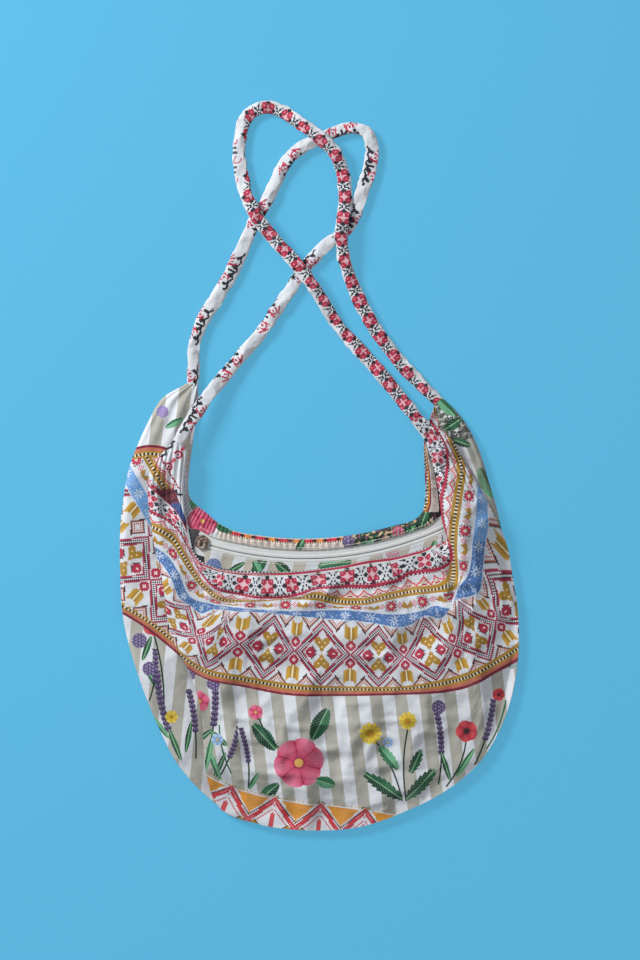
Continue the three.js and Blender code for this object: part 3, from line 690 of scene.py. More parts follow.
@dataclass(frozen=True)
class FolkPrint:
    """The banded cross-stitch print of the cloth."""

    dash_pitch: float = 3.6
    dash_share: float = 0.62
    stripe_pitch: float = 24.6

    def dashes(self, p: Print, low: float, high: float, colour: Colour) -> None:
        """Lays a row of dashes between two distances across the band."""
        p.lay(p.v.between(low, high) * (p.u.phase(self.dash_pitch) < self.dash_share), colour)

    def blossom(self, p: Print, a: Field, b: Field, reach: float, half: float, heart: float) -> None:
        """Lays a small red flower with a pale heart.

        Args:
            p: what the print is drawn with.
            a: the distance from the flower's middle along the band.
            b: the distance from it across the band.
            reach: how far the flower reaches, as the sum of both distances.
            half: how far it reaches in each of them.
            heart: how far its heart reaches.
        """
        p.lay((a + b < reach) * (a < half) * (b < half), RED)
        p.lay(a + b < heart, BLUSH)

    def hem_edge(self, p: Print) -> None:
        """The cloth beside the zip, up to the first line of the print."""
        self.dashes(p, -2.9, -1.5, INK)
        p.lay(p.v > -1.2, RED)

    def rosettes(self, p: Print) -> None:
        """Red rosettes with dark sprigs, and dark crosses between them."""
        s = Stitches.of(p, 1.5, 18, 11.5)
        a, b = s.far_a, s.far_b
        petal = abs(a - 4.0) + abs(b - 4.0)
        near = (petal < 4.5) * (abs(a - 4.0) < 2.9) * (abs(b - 4.0) < 2.9)
        p.lay((a + b < 8.0) * (a < 6.0) * (b < 6.0), rgb(238, 196, 204))
        p.lay(near, RED)
        p.lay(petal < 1.2, rgb(222, 130, 146))
        p.lay((a + abs(b - 8.25) < 2.4) | (b + abs(a - 8.25) < 2.4), INK)
        c = 13.5 - a
        arms = (abs(c - 1.2 - (b - 2.5) * 0.34) < 0.85) * b.between(2.2, 8.2)
        feet = c.between(2.2, 5.2) * b.between(7.0, 8.4)
        p.lay(arms | feet | (c + abs(b) < 1.0), INK)
        p.lay(p.v < 1.3, RED)
        self.dashes(p, 19.4, 20.9, PLUM)
        p.lay(p.v > 21.0, RED)

    def zigzag(self, p: Print) -> None:
        """A red stitched zigzag above an ochre edge."""
        p.lay(p.v < 1.0, RED)
        self.dashes(p, 1.0, 2.2, PLUM)
        s = Stitches.of(p, 1.25, 12, 6.0)
        height = 7.0 - s.far_a * 0.82
        rise = 6.0 + s.b
        climb = 12.0 - height
        p.lay(abs(rise - climb + 0.6) < 1.1, rgb(208, 84, 84))
        p.lay((rise - climb).between(1.8, 3.2), OCHRE)
        p.lay((s.far_a < 1.9) * rise.between(8.6, 10.6), RED)
        p.lay(p.v > 10.8, OCHRE)

    def beads(self, p: Print) -> None:
        """White and dark beads on an ochre band."""
        phase = p.u.phase(3.5)
        row = p.v.between(1.45, 4.0)
        p.lay(row * phase.between(0.04, 0.46), INK)
        p.lay(row * phase.between(0.54, 0.94), CREAM)

    def hearts(self, p: Print) -> None:
        """Small red flowers in dotted brackets, with ochre hearts between them."""
        s = Stitches.of(p, 1.35, 26, 8.0)
        a, b = s.far_a, s.far_b
        flower = (a < 4.4) * (b < 4.4) * (a + b < 7.0)
        p.lay(flower, RED)
        p.lay(flower * (a + b < 1.5), CREAM)
        p.lay(flower * (abs(a - b) < 0.5) * (a > 2.0), PINK)
        p.lay(a.between(5.0, 6.2) * (b < 5.8) * s.odd, INK)
        p.lay(b.between(5.0, 6.2) * (a < 5.8) * s.odd, INK)
        c = 17.5 - a
        heart = (abs(c - 3.4) + abs(s.b - 0.6) * 0.8 < 3.3) | ((c < 3.6) * (s.b + c * 0.6).between(0.8, 4.4))
        p.lay(heart, OCHRE)
        p.lay((abs(a - 10.4) + b < 4.0) * s.odd, rgb(212, 96, 120))
        p.lay(p.v < 1.1, OCHRE)

    def snow(self, p: Print) -> None:
        """White flakes and specks on a blue band, whose blue is painted lighter above y 541 as painted light.
        """
        # Painted light: the blue is laid lighter above y 541 on the sheet, on the horns and the flap, so the
        # band below reads as shaded.
        p.lay(p.y < 541.0, rgb(118, 170, 228))
        cell = 1.1
        column, row = (p.u / cell).unary("FLOOR"), (p.v / cell).unary("FLOOR")
        spot = p.graph.node("ShaderNodeCombineXYZ", inputs={0: column, 1: row})
        chance = p.graph.node("ShaderNodeTexWhiteNoise", inputs={"Vector": spot.outputs[0]})
        p.lay(Field(p.graph, chance.outputs["Value"]) > 0.88, SKY)
        s = Stitches.of(p, 1.1, 22, 7.0)
        a, b = s.far_a, s.far_b
        arms = (a < 0.6) | (b < 0.6) | (abs(a - b) < 0.6)
        p.lay(arms * (a < 4.8) * (b < 4.8) * (a + b < 7.2) * (a + b > 1.4), rgb(222, 234, 248))
        p.lay((p.v < 0.9) | (p.v > 13.2), rgb(206, 220, 240))

    def diamonds(self, p: Print) -> None:
        """Checked diamonds with ochre hearts and red flowers, and tulips between them."""
        s = Stitches.of(p, 1.45, 40, 33.0)
        a, b = s.far_a, s.far_b
        step = a + b * (29 / 33)
        p.lay(step.between(19.6, 22.0) | step.between(26.8, 29.4), rgb(170, 54, 82))
        p.lay(step.between(22.0, 26.8) * s.odd, rgb(56, 30, 42))
        inner = step < 18.8
        heart = (a < (b - 1.0) * 0.86) * (b + abs(a - 5.0) * 0.7 < 16.2)
        p.lay(heart * inner, OCHRE)
        dots = (a.between(2.4, 3.6) * b.between(9.4, 10.8)) | (a < 0.8) * b.between(5.0, 6.4)
        p.lay(dots, rgb(244, 232, 190))
        side = abs(a - 12.0)
        self.blossom(p, side, b, 6.6, 4.9, 1.5)
        p.lay((a < 11.0) * (side + b).between(7.0, 9.0) * (b > 0.6) * s.odd, INK)
        c = 29.0 - a
        tulip = (c < 7.0) * (b - c * 0.62).between(13.2, 25.6)
        p.lay(tulip, OCHRE)
        p.lay(tulip * (c > 4.0), rgb(206, 160, 62))
        p.lay((c < 0.8) * b.between(14.0, 26.0), rgb(240, 232, 196))
        self.blossom(p, c, abs(b - 8.8), 6.2, 4.6, 1.6)
        corner = abs(a - 14.6) + (33.0 - b) * 0.95
        p.lay(corner.between(8.6, 10.8), rgb(70, 40, 48))
        p.lay(corner.between(5.0, 8.6) * s.odd, SALMON)
        p.lay(p.v > 65.0, OCHRE)

    def border(self, p: Print) -> None:
        """Dark and white beads between ochre lines, above a terracotta line."""
        phase = p.u.phase(3.7)
        row = p.v.between(1.5, 3.7)
        p.lay(row, OLIVE)
        p.lay(row * phase.between(0.04, 0.46), rgb(30, 30, 34))
        p.lay(row * phase.between(0.52, 0.94), CREAM)
        p.lay(p.v > 5.1, SALMON)
        p.lay(p.v > 7.8, PLUM)

    def stripes(self, p: Print, lean: float = 0.12) -> None:
        """Wide beige stripes on the white ground."""
        across = p.x - (p.y - 700.0) * lean
        p.lay(across.phase(self.stripe_pitch).between(0.04, 0.54), BEIGE)

    def hem(self, p: Print) -> None:
        """A broad red zigzag with ochre and dark points between its turns."""
        self.stripes(p)
        p.lay(p.v > 2.6, WHITE)
        s = Stitches.of(p, 1.5, 30, 15.0)
        rise = 15.0 + s.b
        turn = rise - 4.0 - s.far_a * 1.16
        p.lay(turn.between(-3.4, 3.4), rgb(204, 62, 70))
        p.lay(turn.between(-6.2, -3.4) * s.odd, INK)
        p.lay((turn < -7.4) * (rise > 3.0), rgb(222, 152, 62))
        p.lay(turn.between(-0.8, 0.8) * s.odd, rgb(220, 130, 140))
        p.lay(turn.between(6.4, 9.4) * s.odd, LIGHT_RED)
        p.lay((turn > 12.6) * (s.far_a < 2.4), LIGHT_RED)
        low = rise - 43.0 + s.far_a * 1.16
        p.lay(low.between(0.0, 3.4) * (turn > 4.0) * s.odd, INK)
        p.lay((low > 3.4) * (turn > 4.0), OCHRE)
        p.lay(p.v.between(0.8, 2.0) * (p.u.phase(4.4) < 0.42), rgb(214, 170, 74))

    def scrolls(self, p: Print) -> None:
        """A dark stepped line with red scrolls beside it, along the left horn, with painted grey shade on its
        inner side by the zip.
        """
        run = (p.x - 150.0) * 0.62 + (470.0 - p.y) * 0.78
        side = (p.x - 150.0) * 0.78 - (470.0 - p.y) * 0.62
        high = p.y < 474.0
        line = side - 1.0 - abs(run.stitched(1.5).repeated(9.0)) * 0.6
        p.lay(high * (abs(line) < 1.3), INK)
        a = run.repeated(15.0)
        b = side - 13.5
        ring = span(a, b)
        p.lay(high * ring.between(2.4, 4.3) * ((a > -1.5) | (b > 0.0)), RED)
        p.lay(high * (ring < 1.2), RED)
        p.lay(high * (abs(a) > 5.0) * (abs(b) < 1.6), ROSE)
        along = (p.x - 166.0 + p.y - 478.0) * 0.707
        across = (p.y - 478.0 - p.x + 166.0) * 0.707
        low = abs(across - abs(along.stitched(1.5).repeated(8.0)) * 0.7) < 1.4
        p.lay(low * along.between(2.0, 24.0), INK)
        # Painted shade: grey at half strength over the plain inner side of the horn, right of x 184.5 and
        # below y 474.
        p.lay((p.x > 184.5) * (p.y > 474.0) * 0.5, rgb(168, 172, 180))

    def hollow(self, p: Print) -> None:
        """The shaded inside of the fold in the left horn, with parts of other bands."""
        # Painted shade: the reds, the dark stripes and the blue below are the print of the bands inside the
        # fold, laid in dark tones that paint the shade there.
        s = Stitches.of(p, 1.0, 4, 0.0)
        checks = (p.x / 2.1).unary("FLOOR") + (p.y / 2.1).unary("FLOOR")
        p.lay(checks.phase(2.0) > 0.25, rgb(150, 62, 78))
        p.lay((p.y + p.x * 0.35).repeated(9.0) > 2.6, rgb(56, 30, 36))
        blue = (p.x + (p.y - 512.0) * 0.3 > 169.0) * p.y.between(503.0, 521.0)
        p.lay(blue, rgb(46, 72, 128))
        p.lay(blue * s.odd * (p.x.phase(3.1) < 0.3), rgb(110, 140, 190))

    def turned_diamonds(self, p: Print) -> None:
        """The diamonds where the cloth is folded over, at a slant to the sheet."""
        turned_u = (p.x - 128.0) * 0.76 + (p.y - 560.0) * 0.65
        turned_v = 33.0 + ((p.y - 560.0) * 0.76 - (p.x - 128.0) * 0.65).repeated(64.0)
        self.diamonds(p.moved(turned_u, turned_v))


FOLK = FolkPrint()


def placed(p: Print, x: float, y: float, angle: float) -> tuple[Field, Field]:
    """How far along and beside a line on the sheet each place is.

    Args:
        p: what the print is drawn with.
        x: where the line starts, across the sheet.
        y: where the line starts, down the sheet.
        angle: the line's direction, in degrees from the right towards the bottom.

    Returns:
        The distances along and beside the line.
    """
    cos, sin = math.cos(math.radians(angle)), math.sin(math.radians(angle))
    return p.x * cos + p.y * sin - (x * cos + y * sin), p.y * cos - p.x * sin - (y * cos - x * sin)


@dataclass(frozen=True)
class Leaf:
    """A pointed leaf with a pale midrib, printed at a place on the sheet."""

    x: float
    y: float
    angle: float
    length: float
    width: float
    dark: bool = True
    teeth: float = 0.0

    def draw(self, p: Print) -> None:
        """Lays the leaf over the print."""
        along, across = placed(p, self.x, self.y, self.angle)
        share = (1.0 - abs(along / (self.length / 2) - 1.0)).positive()
        half = share.unary("SQRT") * self.width * (1.25 - share * 0.25)
        if self.teeth:
            half = half + along.repeated(self.teeth) * 0.35
        side = abs(across)
        body = (side < half) * along.between(0.0, self.length)
        tone, light = (DARK_GREEN, GREEN) if self.dark else (GREEN, PALE_GREEN)
        p.lay(body, tone)
        p.lay(body * (across > 0.0) * 0.75, light)
        veins = (along + side * 1.1).phase(3.4) < 0.22
        p.lay(body * veins * 0.35, PALE_GREEN)
        p.lay(body * (side < 0.55) * 0.8, rgb(146, 196, 150))


@dataclass(frozen=True)
class Stem:
    """A thin bent stem, printed from a place on the sheet, with pairs of buds if they have a size."""

    x: float
    y: float
    angle: float
    length: float
    bend: float = 0.0
    width: float = 0.8
    buds: float = 0.0
    bare: float = 24.0
    colour: Colour = DARK_GREEN

    def draw(self, p: Print) -> None:
        """Lays the stem over the print."""
        along, across = placed(p, self.x, self.y, self.angle)
        line = across - along * (self.length - along) * (4 * self.bend / self.length ** 2)
        p.lay((abs(line) < self.width) * along.between(0.0, self.length), self.colour)
        if self.buds:
            near = along.repeated(self.buds * 2.4)
            side = abs(line) - self.buds * 0.8
            round_them = near * near * 0.5 + side * side < self.buds ** 2 * 0.7
            bud = round_them * along.between(self.bare, self.length)
            p.lay(bud, PURPLE)
            p.lay(bud * (near > 0.2), rgb(122, 106, 146))


@dataclass(frozen=True)
class Bloom:
    """A round flower with petals, printed at a place on the sheet."""

    x: float
    y: float
    size: float
    petals: int
    colour: Colour
    light: Colour
    heart: Colour
    turn: float = 0.0
    heart_size: float = 0.2
    lobes: float = 0.16

    def draw(self, p: Print) -> None:
        """Lays the flower over the print."""
        dx, dy = p.x - self.x, p.y - self.y
        far = span(dx, dy) / self.size
        angle = p.graph.math("ARCTAN2", dy, dx) + math.radians(self.turn)
        lobe = abs((angle * (self.petals / 2)).unary("COSINE"))
        body = far < lobe.unary("SQRT") * self.lobes + (1.0 - self.lobes)
        p.lay(body, self.colour)
        glow = ((far * 1.5 - 0.35) * lobe).positive()
        p.lay(body * glow * 0.8, self.light)
        streak = (angle * (self.petals * 5)).unary("SINE") > 0.55
        p.lay(body * streak * (far < 0.72) * 0.35, self.light)
        p.lay(body * (lobe < 0.13) * (far > 0.25) * 0.5, rgb(110, 22, 48))
        p.lay(far.between(self.heart_size, self.heart_size * 1.5) * streak, rgb(60, 44, 40))
        p.lay(far < self.heart_size, self.heart)


@dataclass(frozen=True)
class Tuft:
    """A cluster of small round buds round a place on the sheet."""

    x: float
    y: float
    size: float
    colour: Colour
    buds: float = 3.4

    def draw(self, p: Print) -> None:
        """Lays the buds over the print."""
        dx, dy = p.x - self.x, p.y - self.y
        inside = (dx * dx + dy * dy) < self.size ** 2
        a = dx.repeated(self.buds)
        b = (dy + dx * 0.5).repeated(self.buds)
        bud = a * a + b * b
        p.lay(inside * (bud < (self.buds * 0.62) ** 2), self.colour)
        p.lay(inside * (a - b > 0.4) * 0.6, rgb(150, 134, 186))
        p.lay(inside * (bud < (self.buds * 0.16) ** 2), rgb(196, 188, 220))


RED_BLOOM = (rgb(186, 44, 60), rgb(226, 92, 96), rgb(52, 40, 36))
PINK_BLOOM = (rgb(208, 62, 100), rgb(236, 138, 168), rgb(226, 176, 96))
YELLOW_BLOOM = (rgb(214, 180, 40), rgb(240, 218, 96), rgb(180, 130, 30))
MEADOW_LEFT = (
    Stem(205, 764, -84, 96, 5, buds=2.2, bare=40), Stem(192, 742, -98, 78, 4, buds=2.0, bare=30),
    Stem(218, 778, -70, 66, 4, buds=1.8), Stem(232, 772, -104, 50, -3, colour=GREEN),
    Leaf(214, 778, -66, 30, 2.6), Leaf(222, 780, -112, 38, 2.8, False), Leaf(228, 744, -140, 22, 3.4),
    Leaf(206, 770, -118, 34, 3.0), Leaf(206, 770, -78, 40, 2.8, False), Leaf(204, 770, -150, 26, 2.6),
    Leaf(196, 742, -40, 22, 2.8), Bloom(200, 700, 10.5, 5, *PINK_BLOOM, turn=20),
    Tuft(189, 672, 8.0, PURPLE), Tuft(214, 682, 6.5, PURPLE), Tuft(180, 742, 5.5, rgb(96, 150, 206)),
    Bloom(218, 738, 6.0, 6, POWDER, rgb(196, 218, 240), STRAW),
)
MEADOW_MIDDLE = (
    Leaf(276, 748, -132, 34, 7.5, True, 3.2), Leaf(312, 738, -62, 34, 8.5, True, 3.2),
    Leaf(279, 782, 138, 26, 6.5, True, 2.8), Stem(258, 712, 58, 40, 3), Leaf(262, 718, -150, 15, 3.2),
    Bloom(299, 761, 25, 6, *PINK_BLOOM, turn=12, heart_size=0.17, lobes=0.12),
    Bloom(256, 711, 7.5, 5, *PINK_BLOOM, turn=40), Leaf(316, 778, 18, 20, 6.0, False, 2.8),
    Stem(248, 792, -96, 66, 4, buds=1.7, bare=30), Leaf(248, 790, -60, 22, 2.6, False),
)
MEADOW_RIGHT = (
    Stem(402, 800, -116, 76, 5), Stem(406, 800, -88, 80, -4), Stem(446, 786, -70, 60, 5),
    Leaf(402, 798, -146, 46, 6.5, True, 6.0), Leaf(406, 798, -46, 42, 6.5, True, 6.0),
    Leaf(398, 768, -130, 30, 5.6, False, 5.0), Leaf(410, 772, -66, 26, 5.0, True, 5.0),
    Bloom(370, 732, 11.5, 11, *YELLOW_BLOOM, heart_size=0.28, lobes=0.3),
    Bloom(407, 719, 9.0, 9, *YELLOW_BLOOM, heart_size=0.25, lobes=0.3),
    Bloom(388, 741, 5.5, 6, POWDER, rgb(206, 224, 244), STRAW),
    Bloom(466, 730, 11, 5, *RED_BLOOM, turn=40, heart_size=0.26), Bloom(498, 694, 6.5, 5, *RED_BLOOM),
    Stem(438, 784, -92, 76, 4, buds=2.0, bare=30), Stem(474, 764, -74, 68, 3, buds=2.0, bare=26),
    Stem(486, 748, -68, 52, 3, colour=GREEN), Leaf(450, 780, -108, 30, 2.8), Tuft(438, 706, 7.0, PURPLE, 3.6),
    Leaf(456, 776, -58, 34, 3.0, False), Tuft(512, 662, 6.5, rgb(150, 196, 176), 3.0),
)
BACK_MEADOW = (
    Leaf(143, 660, -70, 26, 3.0), Leaf(160, 690, -120, 30, 3.0, False), Stem(164, 718, -98, 96, 5),
    Stem(178, 752, -104, 84, -4, buds=2.2, bare=22), Stem(196, 758, -96, 70, 3, buds=2.0, bare=26),
    Stem(150, 700, -84, 52, 3, buds=1.8, bare=20), Leaf(186, 752, -80, 32, 2.8),
    Leaf(170, 738, -128, 28, 2.6, False),
    Bloom(155, 624, 12, 5, *RED_BLOOM, heart_size=0.3), Tuft(140, 640, 7.5, PURPLE),
    Tuft(150, 668, 7, PURPLE), Leaf(182, 760, -112, 34, 3.0), Bloom(172, 716, 6.5, 6, *YELLOW_BLOOM),
    Leaf(190, 420, -60, 30, 5.0, True, 4.0), Leaf(166, 428, -28, 20, 3.4, False),
    Tuft(163, 412, 6.0, rgb(150, 130, 190)),
)
HORN_LEAVES = (
    Leaf(478, 468, 62, 34, 7.0, False), Leaf(436, 398, 44, 26, 5.0, False, 3.0),
    Leaf(444, 430, -34, 20, 5.0, True, 3.0), Leaf(498, 520, 78, 18, 5.0),
    Leaf(470, 446, -160, 18, 4.0, True, 3.0),
)


def meadow(plants: Iterable[Leaf | Stem | Bloom | Tuft], lean: float = 0.12) -> Callable[[Print], None]:
    """The striped print with plants on it.

    Args:
        plants: the plants, from the lowest layer.
        lean: how far the stripes lean.

    Returns:
        What draws it.
    """
    def draw(p: Print) -> None:
        """Lays the stripes and then each plant."""
        FOLK.stripes(p, lean)
        for plant in plants:
            plant.draw(p)
        p.lay(p.v.between(-1.0, 1.2), PLUM)
    return draw


def mottle(across: Field, down: Field, size: float) -> Field:
    """Soft random shades between 0 and 1 on the cloth, with spots of a given size."""
    graph = across.graph
    spot = graph.node("ShaderNodeCombineXYZ", inputs={0: across / size, 1: down / size})
    return graph.noise(spot.outputs[0], 1.0, 1.5)


def leafy_horn(p: Print) -> None:
    """The stripes of the right back horn, with grey painted shade and dark foliage print mottled towards the
    strap, with leaves, and a band of painted grey-brown shade across it.
    """
    meadow(HORN_LEAVES[:1], 0.4)(p)
    shade = mottle(p.x, p.y, 4.5)
    near = (p.y + (p.x - 450.0) * 0.4) < 446.0
    # Painted shade: grey over much of the mottle near the strap; the dark marks laid over it are foliage
    # print.
    p.lay(near * (shade > 0.42), rgb(150, 152, 146))
    p.lay(near * shade.between(0.47, 0.53), rgb(44, 48, 44))
    p.lay(near * (shade > 0.58), rgb(72, 82, 74))
    for leaf in HORN_LEAVES[1:]:
        leaf.draw(p)
    # Painted shade: a grey-brown band across the horn where the cloth folds.
    p.lay((p.y - p.x * 0.3).between(318.0, 344.0) * 0.35, rgb(140, 132, 128))


def band_materials() -> list[bpy.types.Material]:
    """The materials of the printed panels, in the order of Band."""
    prints = {
        Band.HEM_EDGE: (WHITE, FOLK.hem_edge),
        Band.ROSETTES: (WHITE, FOLK.rosettes),
        Band.ZIGZAG: (WHITE, FOLK.zigzag),
        Band.BEADS: (OCHRE, FOLK.beads),
        Band.HEARTS: (WHITE, FOLK.hearts),
        Band.SNOW: (BLUE, FOLK.snow),
        Band.DIAMONDS: (WHITE, FOLK.diamonds),
        Band.BORDER: (OCHRE, FOLK.border),
        Band.STRIPES_LEFT: (WHITE, meadow(MEADOW_LEFT)),
        Band.STRIPES_MIDDLE: (WHITE, meadow(MEADOW_MIDDLE)),
        Band.STRIPES_RIGHT: (WHITE, meadow(MEADOW_RIGHT)),
        Band.HEM: (WHITE, FOLK.hem),
        Band.SCROLLS: (WHITE, FOLK.scrolls),
        Band.TURNED_DIAMONDS: (WHITE, FOLK.turned_diamonds),
        Band.LEAVES: (WHITE, leafy_horn),
        Band.BACK_MEADOW: (WHITE, meadow(BACK_MEADOW, -0.1)),
        # The dark ground of the fold's inside is painted shade over its print.
        Band.HOLLOW: (rgb(84, 38, 48), FOLK.hollow),
    }
    return [cloth_material(f"cloth {band.name.lower()}", *prints[band]) for band in Band]


BEAD_RUN = 3.4
SCROLL_STITCH = 1.1
SCROLL_PITCH = 62.0
ROSETTE_STITCH = 1.2
TURN_PLACE = 436.0
TURN_REACH = 60.0
FACING_PLANTS = (
    Leaf(252, 575, -52, 24, 5.5), Leaf(276, 562, 40, 20, 5.0, True, 3.0), Leaf(318, 566, -8, 34, 6.0),
    Leaf(228, 572, -30, 20, 3.0), Leaf(262, 576, -118, 18, 4.0, False), Leaf(432, 556, -80, 16, 4.0, False),
    Tuft(214, 566, 8, rgb(84, 128, 180)), Leaf(346, 560, 168, 26, 5.0, False, 3.0),
    Tuft(392, 552, 7, rgb(214, 150, 150)),
)
RIM_PLANTS = (
    Leaf(352, 552, -30, 26, 4.0, False), Leaf(376, 549, -36, 26, 4.0), Leaf(398, 545, -50, 26, 4.0, False),
    Leaf(420, 528, -70, 22, 4.0), Leaf(296, 553, -60, 16, 3.6), Tuft(348, 541, 6, PURPLE),
    Tuft(398, 532, 6, rgb(200, 80, 80)), Tuft(386, 540, 5, rgb(214, 170, 120)),
)


def facing_print(p: Print) -> None:
    """Stripes and leaves on the facing below the zip."""
    place = p.x / FOLK.stripe_pitch + (p.y - 560.0) * 0.012
    p.lay(place.unary("FRACT") < 0.5, rgb(196, 190, 178))
    for plant in FACING_PLANTS:
        plant.draw(p)


def rim_print(p: Print) -> None:
    """Blocks, leaves and a bloom on the gathered facing, which change along it."""
    middle = p.x.between(218.0, 352.0)
    block = (p.x + 4.0).repeated(24.0)
    wide = abs(block) < 5.4
    other = abs(abs(block) - 12.0) < 4.4
    high = (p.v > 1.2) * (p.v < 8.2)
    p.lay(middle * wide * high, rgb(206, 52, 74))
    p.lay(middle * other * high, rgb(218, 132, 62))
    gap = (abs(abs(block) - 6.6) < 1.2) | ((abs(abs(block) - 6.6) < 2.4) * p.v.between(3.0, 5.2))
    p.lay(middle * gap * high, rgb(36, 30, 34))
    check = p.v.between(6.4, 8.2) * middle
    p.lay(check, rgb(228, 206, 184))
    p.lay(check * (p.u.phase(2.8) < 0.45), rgb(60, 40, 44))
    right = (p.x > 344.0) * (p.y > 480.0)
    shade = mottle(p.u, p.v, 5.0)
    p.lay(right, rgb(26, 48, 36))
    p.lay(right * (shade > 0.54), rgb(44, 110, 72))
    p.lay(right * (shade > 0.6), rgb(214, 170, 140))
    p.lay(right * (shade < 0.4), rgb(74, 60, 88))
    p.lay(right * (shade < 0.35), rgb(190, 84, 96))
    for plant in RIM_PLANTS:
        plant.draw(p)
    corner = (p.x < 218.0) * (p.y > 470.0)
    p.lay(corner, WHITE)
    Leaf(191, 497, 52, 26, 7.0, False).draw(p)
    Leaf(214, 521, 28, 22, 6.0, True).draw(p)
    Bloom(203, 521, 15.5, 5, *PINK_BLOOM, turn=30, heart_size=0.14, lobes=0.14).draw(p)
    inner = (p.x > 415.0) * (p.y < 512.0)
    p.lay(inner, rgb(196, 128, 52))
    bead = p.y.phase(BEAD_RUN)
    p.lay(inner * (p.v < 2.6) * (bead < 0.5), rgb(34, 30, 30))
    p.lay(inner * (p.v < 2.6) * (bead > 0.5), CREAM)
    p.lay(inner * p.v.between(5.2, 7.0), rgb(120, 36, 44))
    p.lay(inner * (p.v > 7.0), rgb(205, 196, 190))


def patch_print(p: Print) -> None:
    """The bunched end of a dark motif, on the patch over the zip's end."""
    shade = mottle(p.u, p.v, 2.8)
    p.lay(shade < 0.48, rgb(62, 50, 46))
    p.lay(shade > 0.58, rgb(186, 176, 164))
    p.lay((shade > 0.5) * (shade < 0.53), rgb(150, 92, 62))


def scroll_strap_print(p: Print) -> None:
    """Pairs of red scrolls with a dark branch between them, with bare cloth between the pairs."""
    side = (p.v - (p.u / 52.0).unary("SINE") * 3.2 - 8.6).stitched(SCROLL_STITCH)
    run = p.u.stitched(SCROLL_STITCH)
    far = abs(run.repeated(SCROLL_PITCH))
    b = side - 0.6
    ring = span(far - 9.0, b)
    p.lay(ring.between(2.5, 4.1) * ((far < 9.6) | (b > -0.6)), RED)
    p.lay(ring < 1.2, RED)
    p.lay((abs(side - 6.2 + (far - 9.0) * 0.5) < 0.8) * far.between(9.0, 17.0), RED)
    p.lay((abs(far - 4.6) < 0.9) * side.between(1.0, 6.0), ROSE)
    twig = side + 6.2 - abs(run.repeated(9.0)) * 0.5
    p.lay((abs(twig) < 1.1) * (far < 21.0), INK)
    p.lay((abs(far - 4.4) + abs(side + 3.0) < 2.6) | (abs(far - 14.4) + abs(side + 2.4) < 2.4), INK)
    p.lay((far < 1.2) * side.between(-4.0, 1.6), INK)
    rest = p.v - 24.0
    p.lay(abs(rest - abs(p.u.stitched(1.5).repeated(12.0)) * 0.5) < 0.8, rgb(196, 120, 130))


def rosette_strap_print(p: Print) -> None:
    """Red rosettes and dark sprigs along the right strap, which turns over at its top."""
    over = (1.0 - abs(p.u - TURN_PLACE) / TURN_REACH).positive() * 15.0
    side = p.v - (p.u / 47.0 + 1.0).unary("SINE") * 2.6 - 9.6 - over
    s = Stitches.of(p.moved(p.u, side), ROSETTE_STITCH, 18, 0.0)
    a, b = s.far_a, s.far_b
    petal = abs(a - 3.3) + abs(b - 3.3)
    p.lay((a + b < 5.6) * (a < 4.6) * (b < 4.6), rgb(232, 184, 194))
    p.lay((petal < 4.2) * (abs(a - 3.3) < 2.8) * (abs(b - 3.3) < 2.8), RED)
    p.lay(petal < 0.9, rgb(222, 150, 164))
    p.lay((a + abs(b - 6.8) < 2.2) | (b + abs(a - 6.8) < 2.2), INK)
    c = 10.8 - a
    p.lay((abs(c - b * 0.55) < 0.8) * b.between(1.0, 6.2), INK)
    back = side + 16.0
    curl = p.u.stitched(ROSETTE_STITCH).repeated(19.0)
    ring = span(curl, back)
    p.lay(ring.between(2.6, 3.9) * ((curl > -1.2) | (back < 0.4)), rgb(196, 104, 124))
    p.lay((abs(abs(curl) - 7.0) < 1.1) * (abs(back + 2.0) < 3.4), rgb(84, 84, 96))


@dataclass(frozen=True)
class MetalFinish:
    """The plated cast metal of the slider, the pull and the stops."""

    colour: Colour = rgb(186, 189, 192)
    roughness: float = 0.32
    grain: float = 900.0
    wear: float = 260.0

    def material(self) -> bpy.types.Material:
        """Makes the material."""
        graph = Graph("plated metal")
        place = graph.place()
        grain = graph.noise(place, self.grain, 3.0)
        dull = graph.noise(place, self.wear, 2.0)
        paint = Paint(graph, self.colour).lay((dull - 0.45) * 1.2, rgb(146, 147, 148))
        return graph.surface({
            "Base Color": paint, "Metallic": 1.0, "Roughness": dull * 0.3 + (self.roughness - 0.12),
            "Normal": graph.bump(grain, FINE_BUMP, 0.2),
        })


@dataclass(frozen=True)
class NylonFinish:
    """The white nylon of the teeth."""

    colour: Colour = rgb(226, 228, 226)
    roughness: float = 0.4
    grain: float = 500.0

    def material(self) -> bpy.types.Material:
        """Makes the material."""
        graph = Graph("nylon")
        haze = graph.noise(graph.place(), self.grain, 2.0)
        paint = Paint(graph, self.colour).lay((haze - 0.4) * 0.5, rgb(196, 198, 196))
        return graph.surface({
            "Base Color": paint, "Roughness": self.roughness, "Normal": graph.bump(haze, FINE_BUMP, 0.15),
        })


def tape_print(p: Print) -> None:
    """The ribs of the zip's woven tape."""
    rib = p.v.phase(1.1)
    p.lay((rib < 0.3) * 0.35, rgb(176, 180, 178))
    p.lay((p.u / 1.3 + p.v * 0.4).unary("FRACT").between(0.3, 0.55) * 0.2, rgb(190, 194, 192))


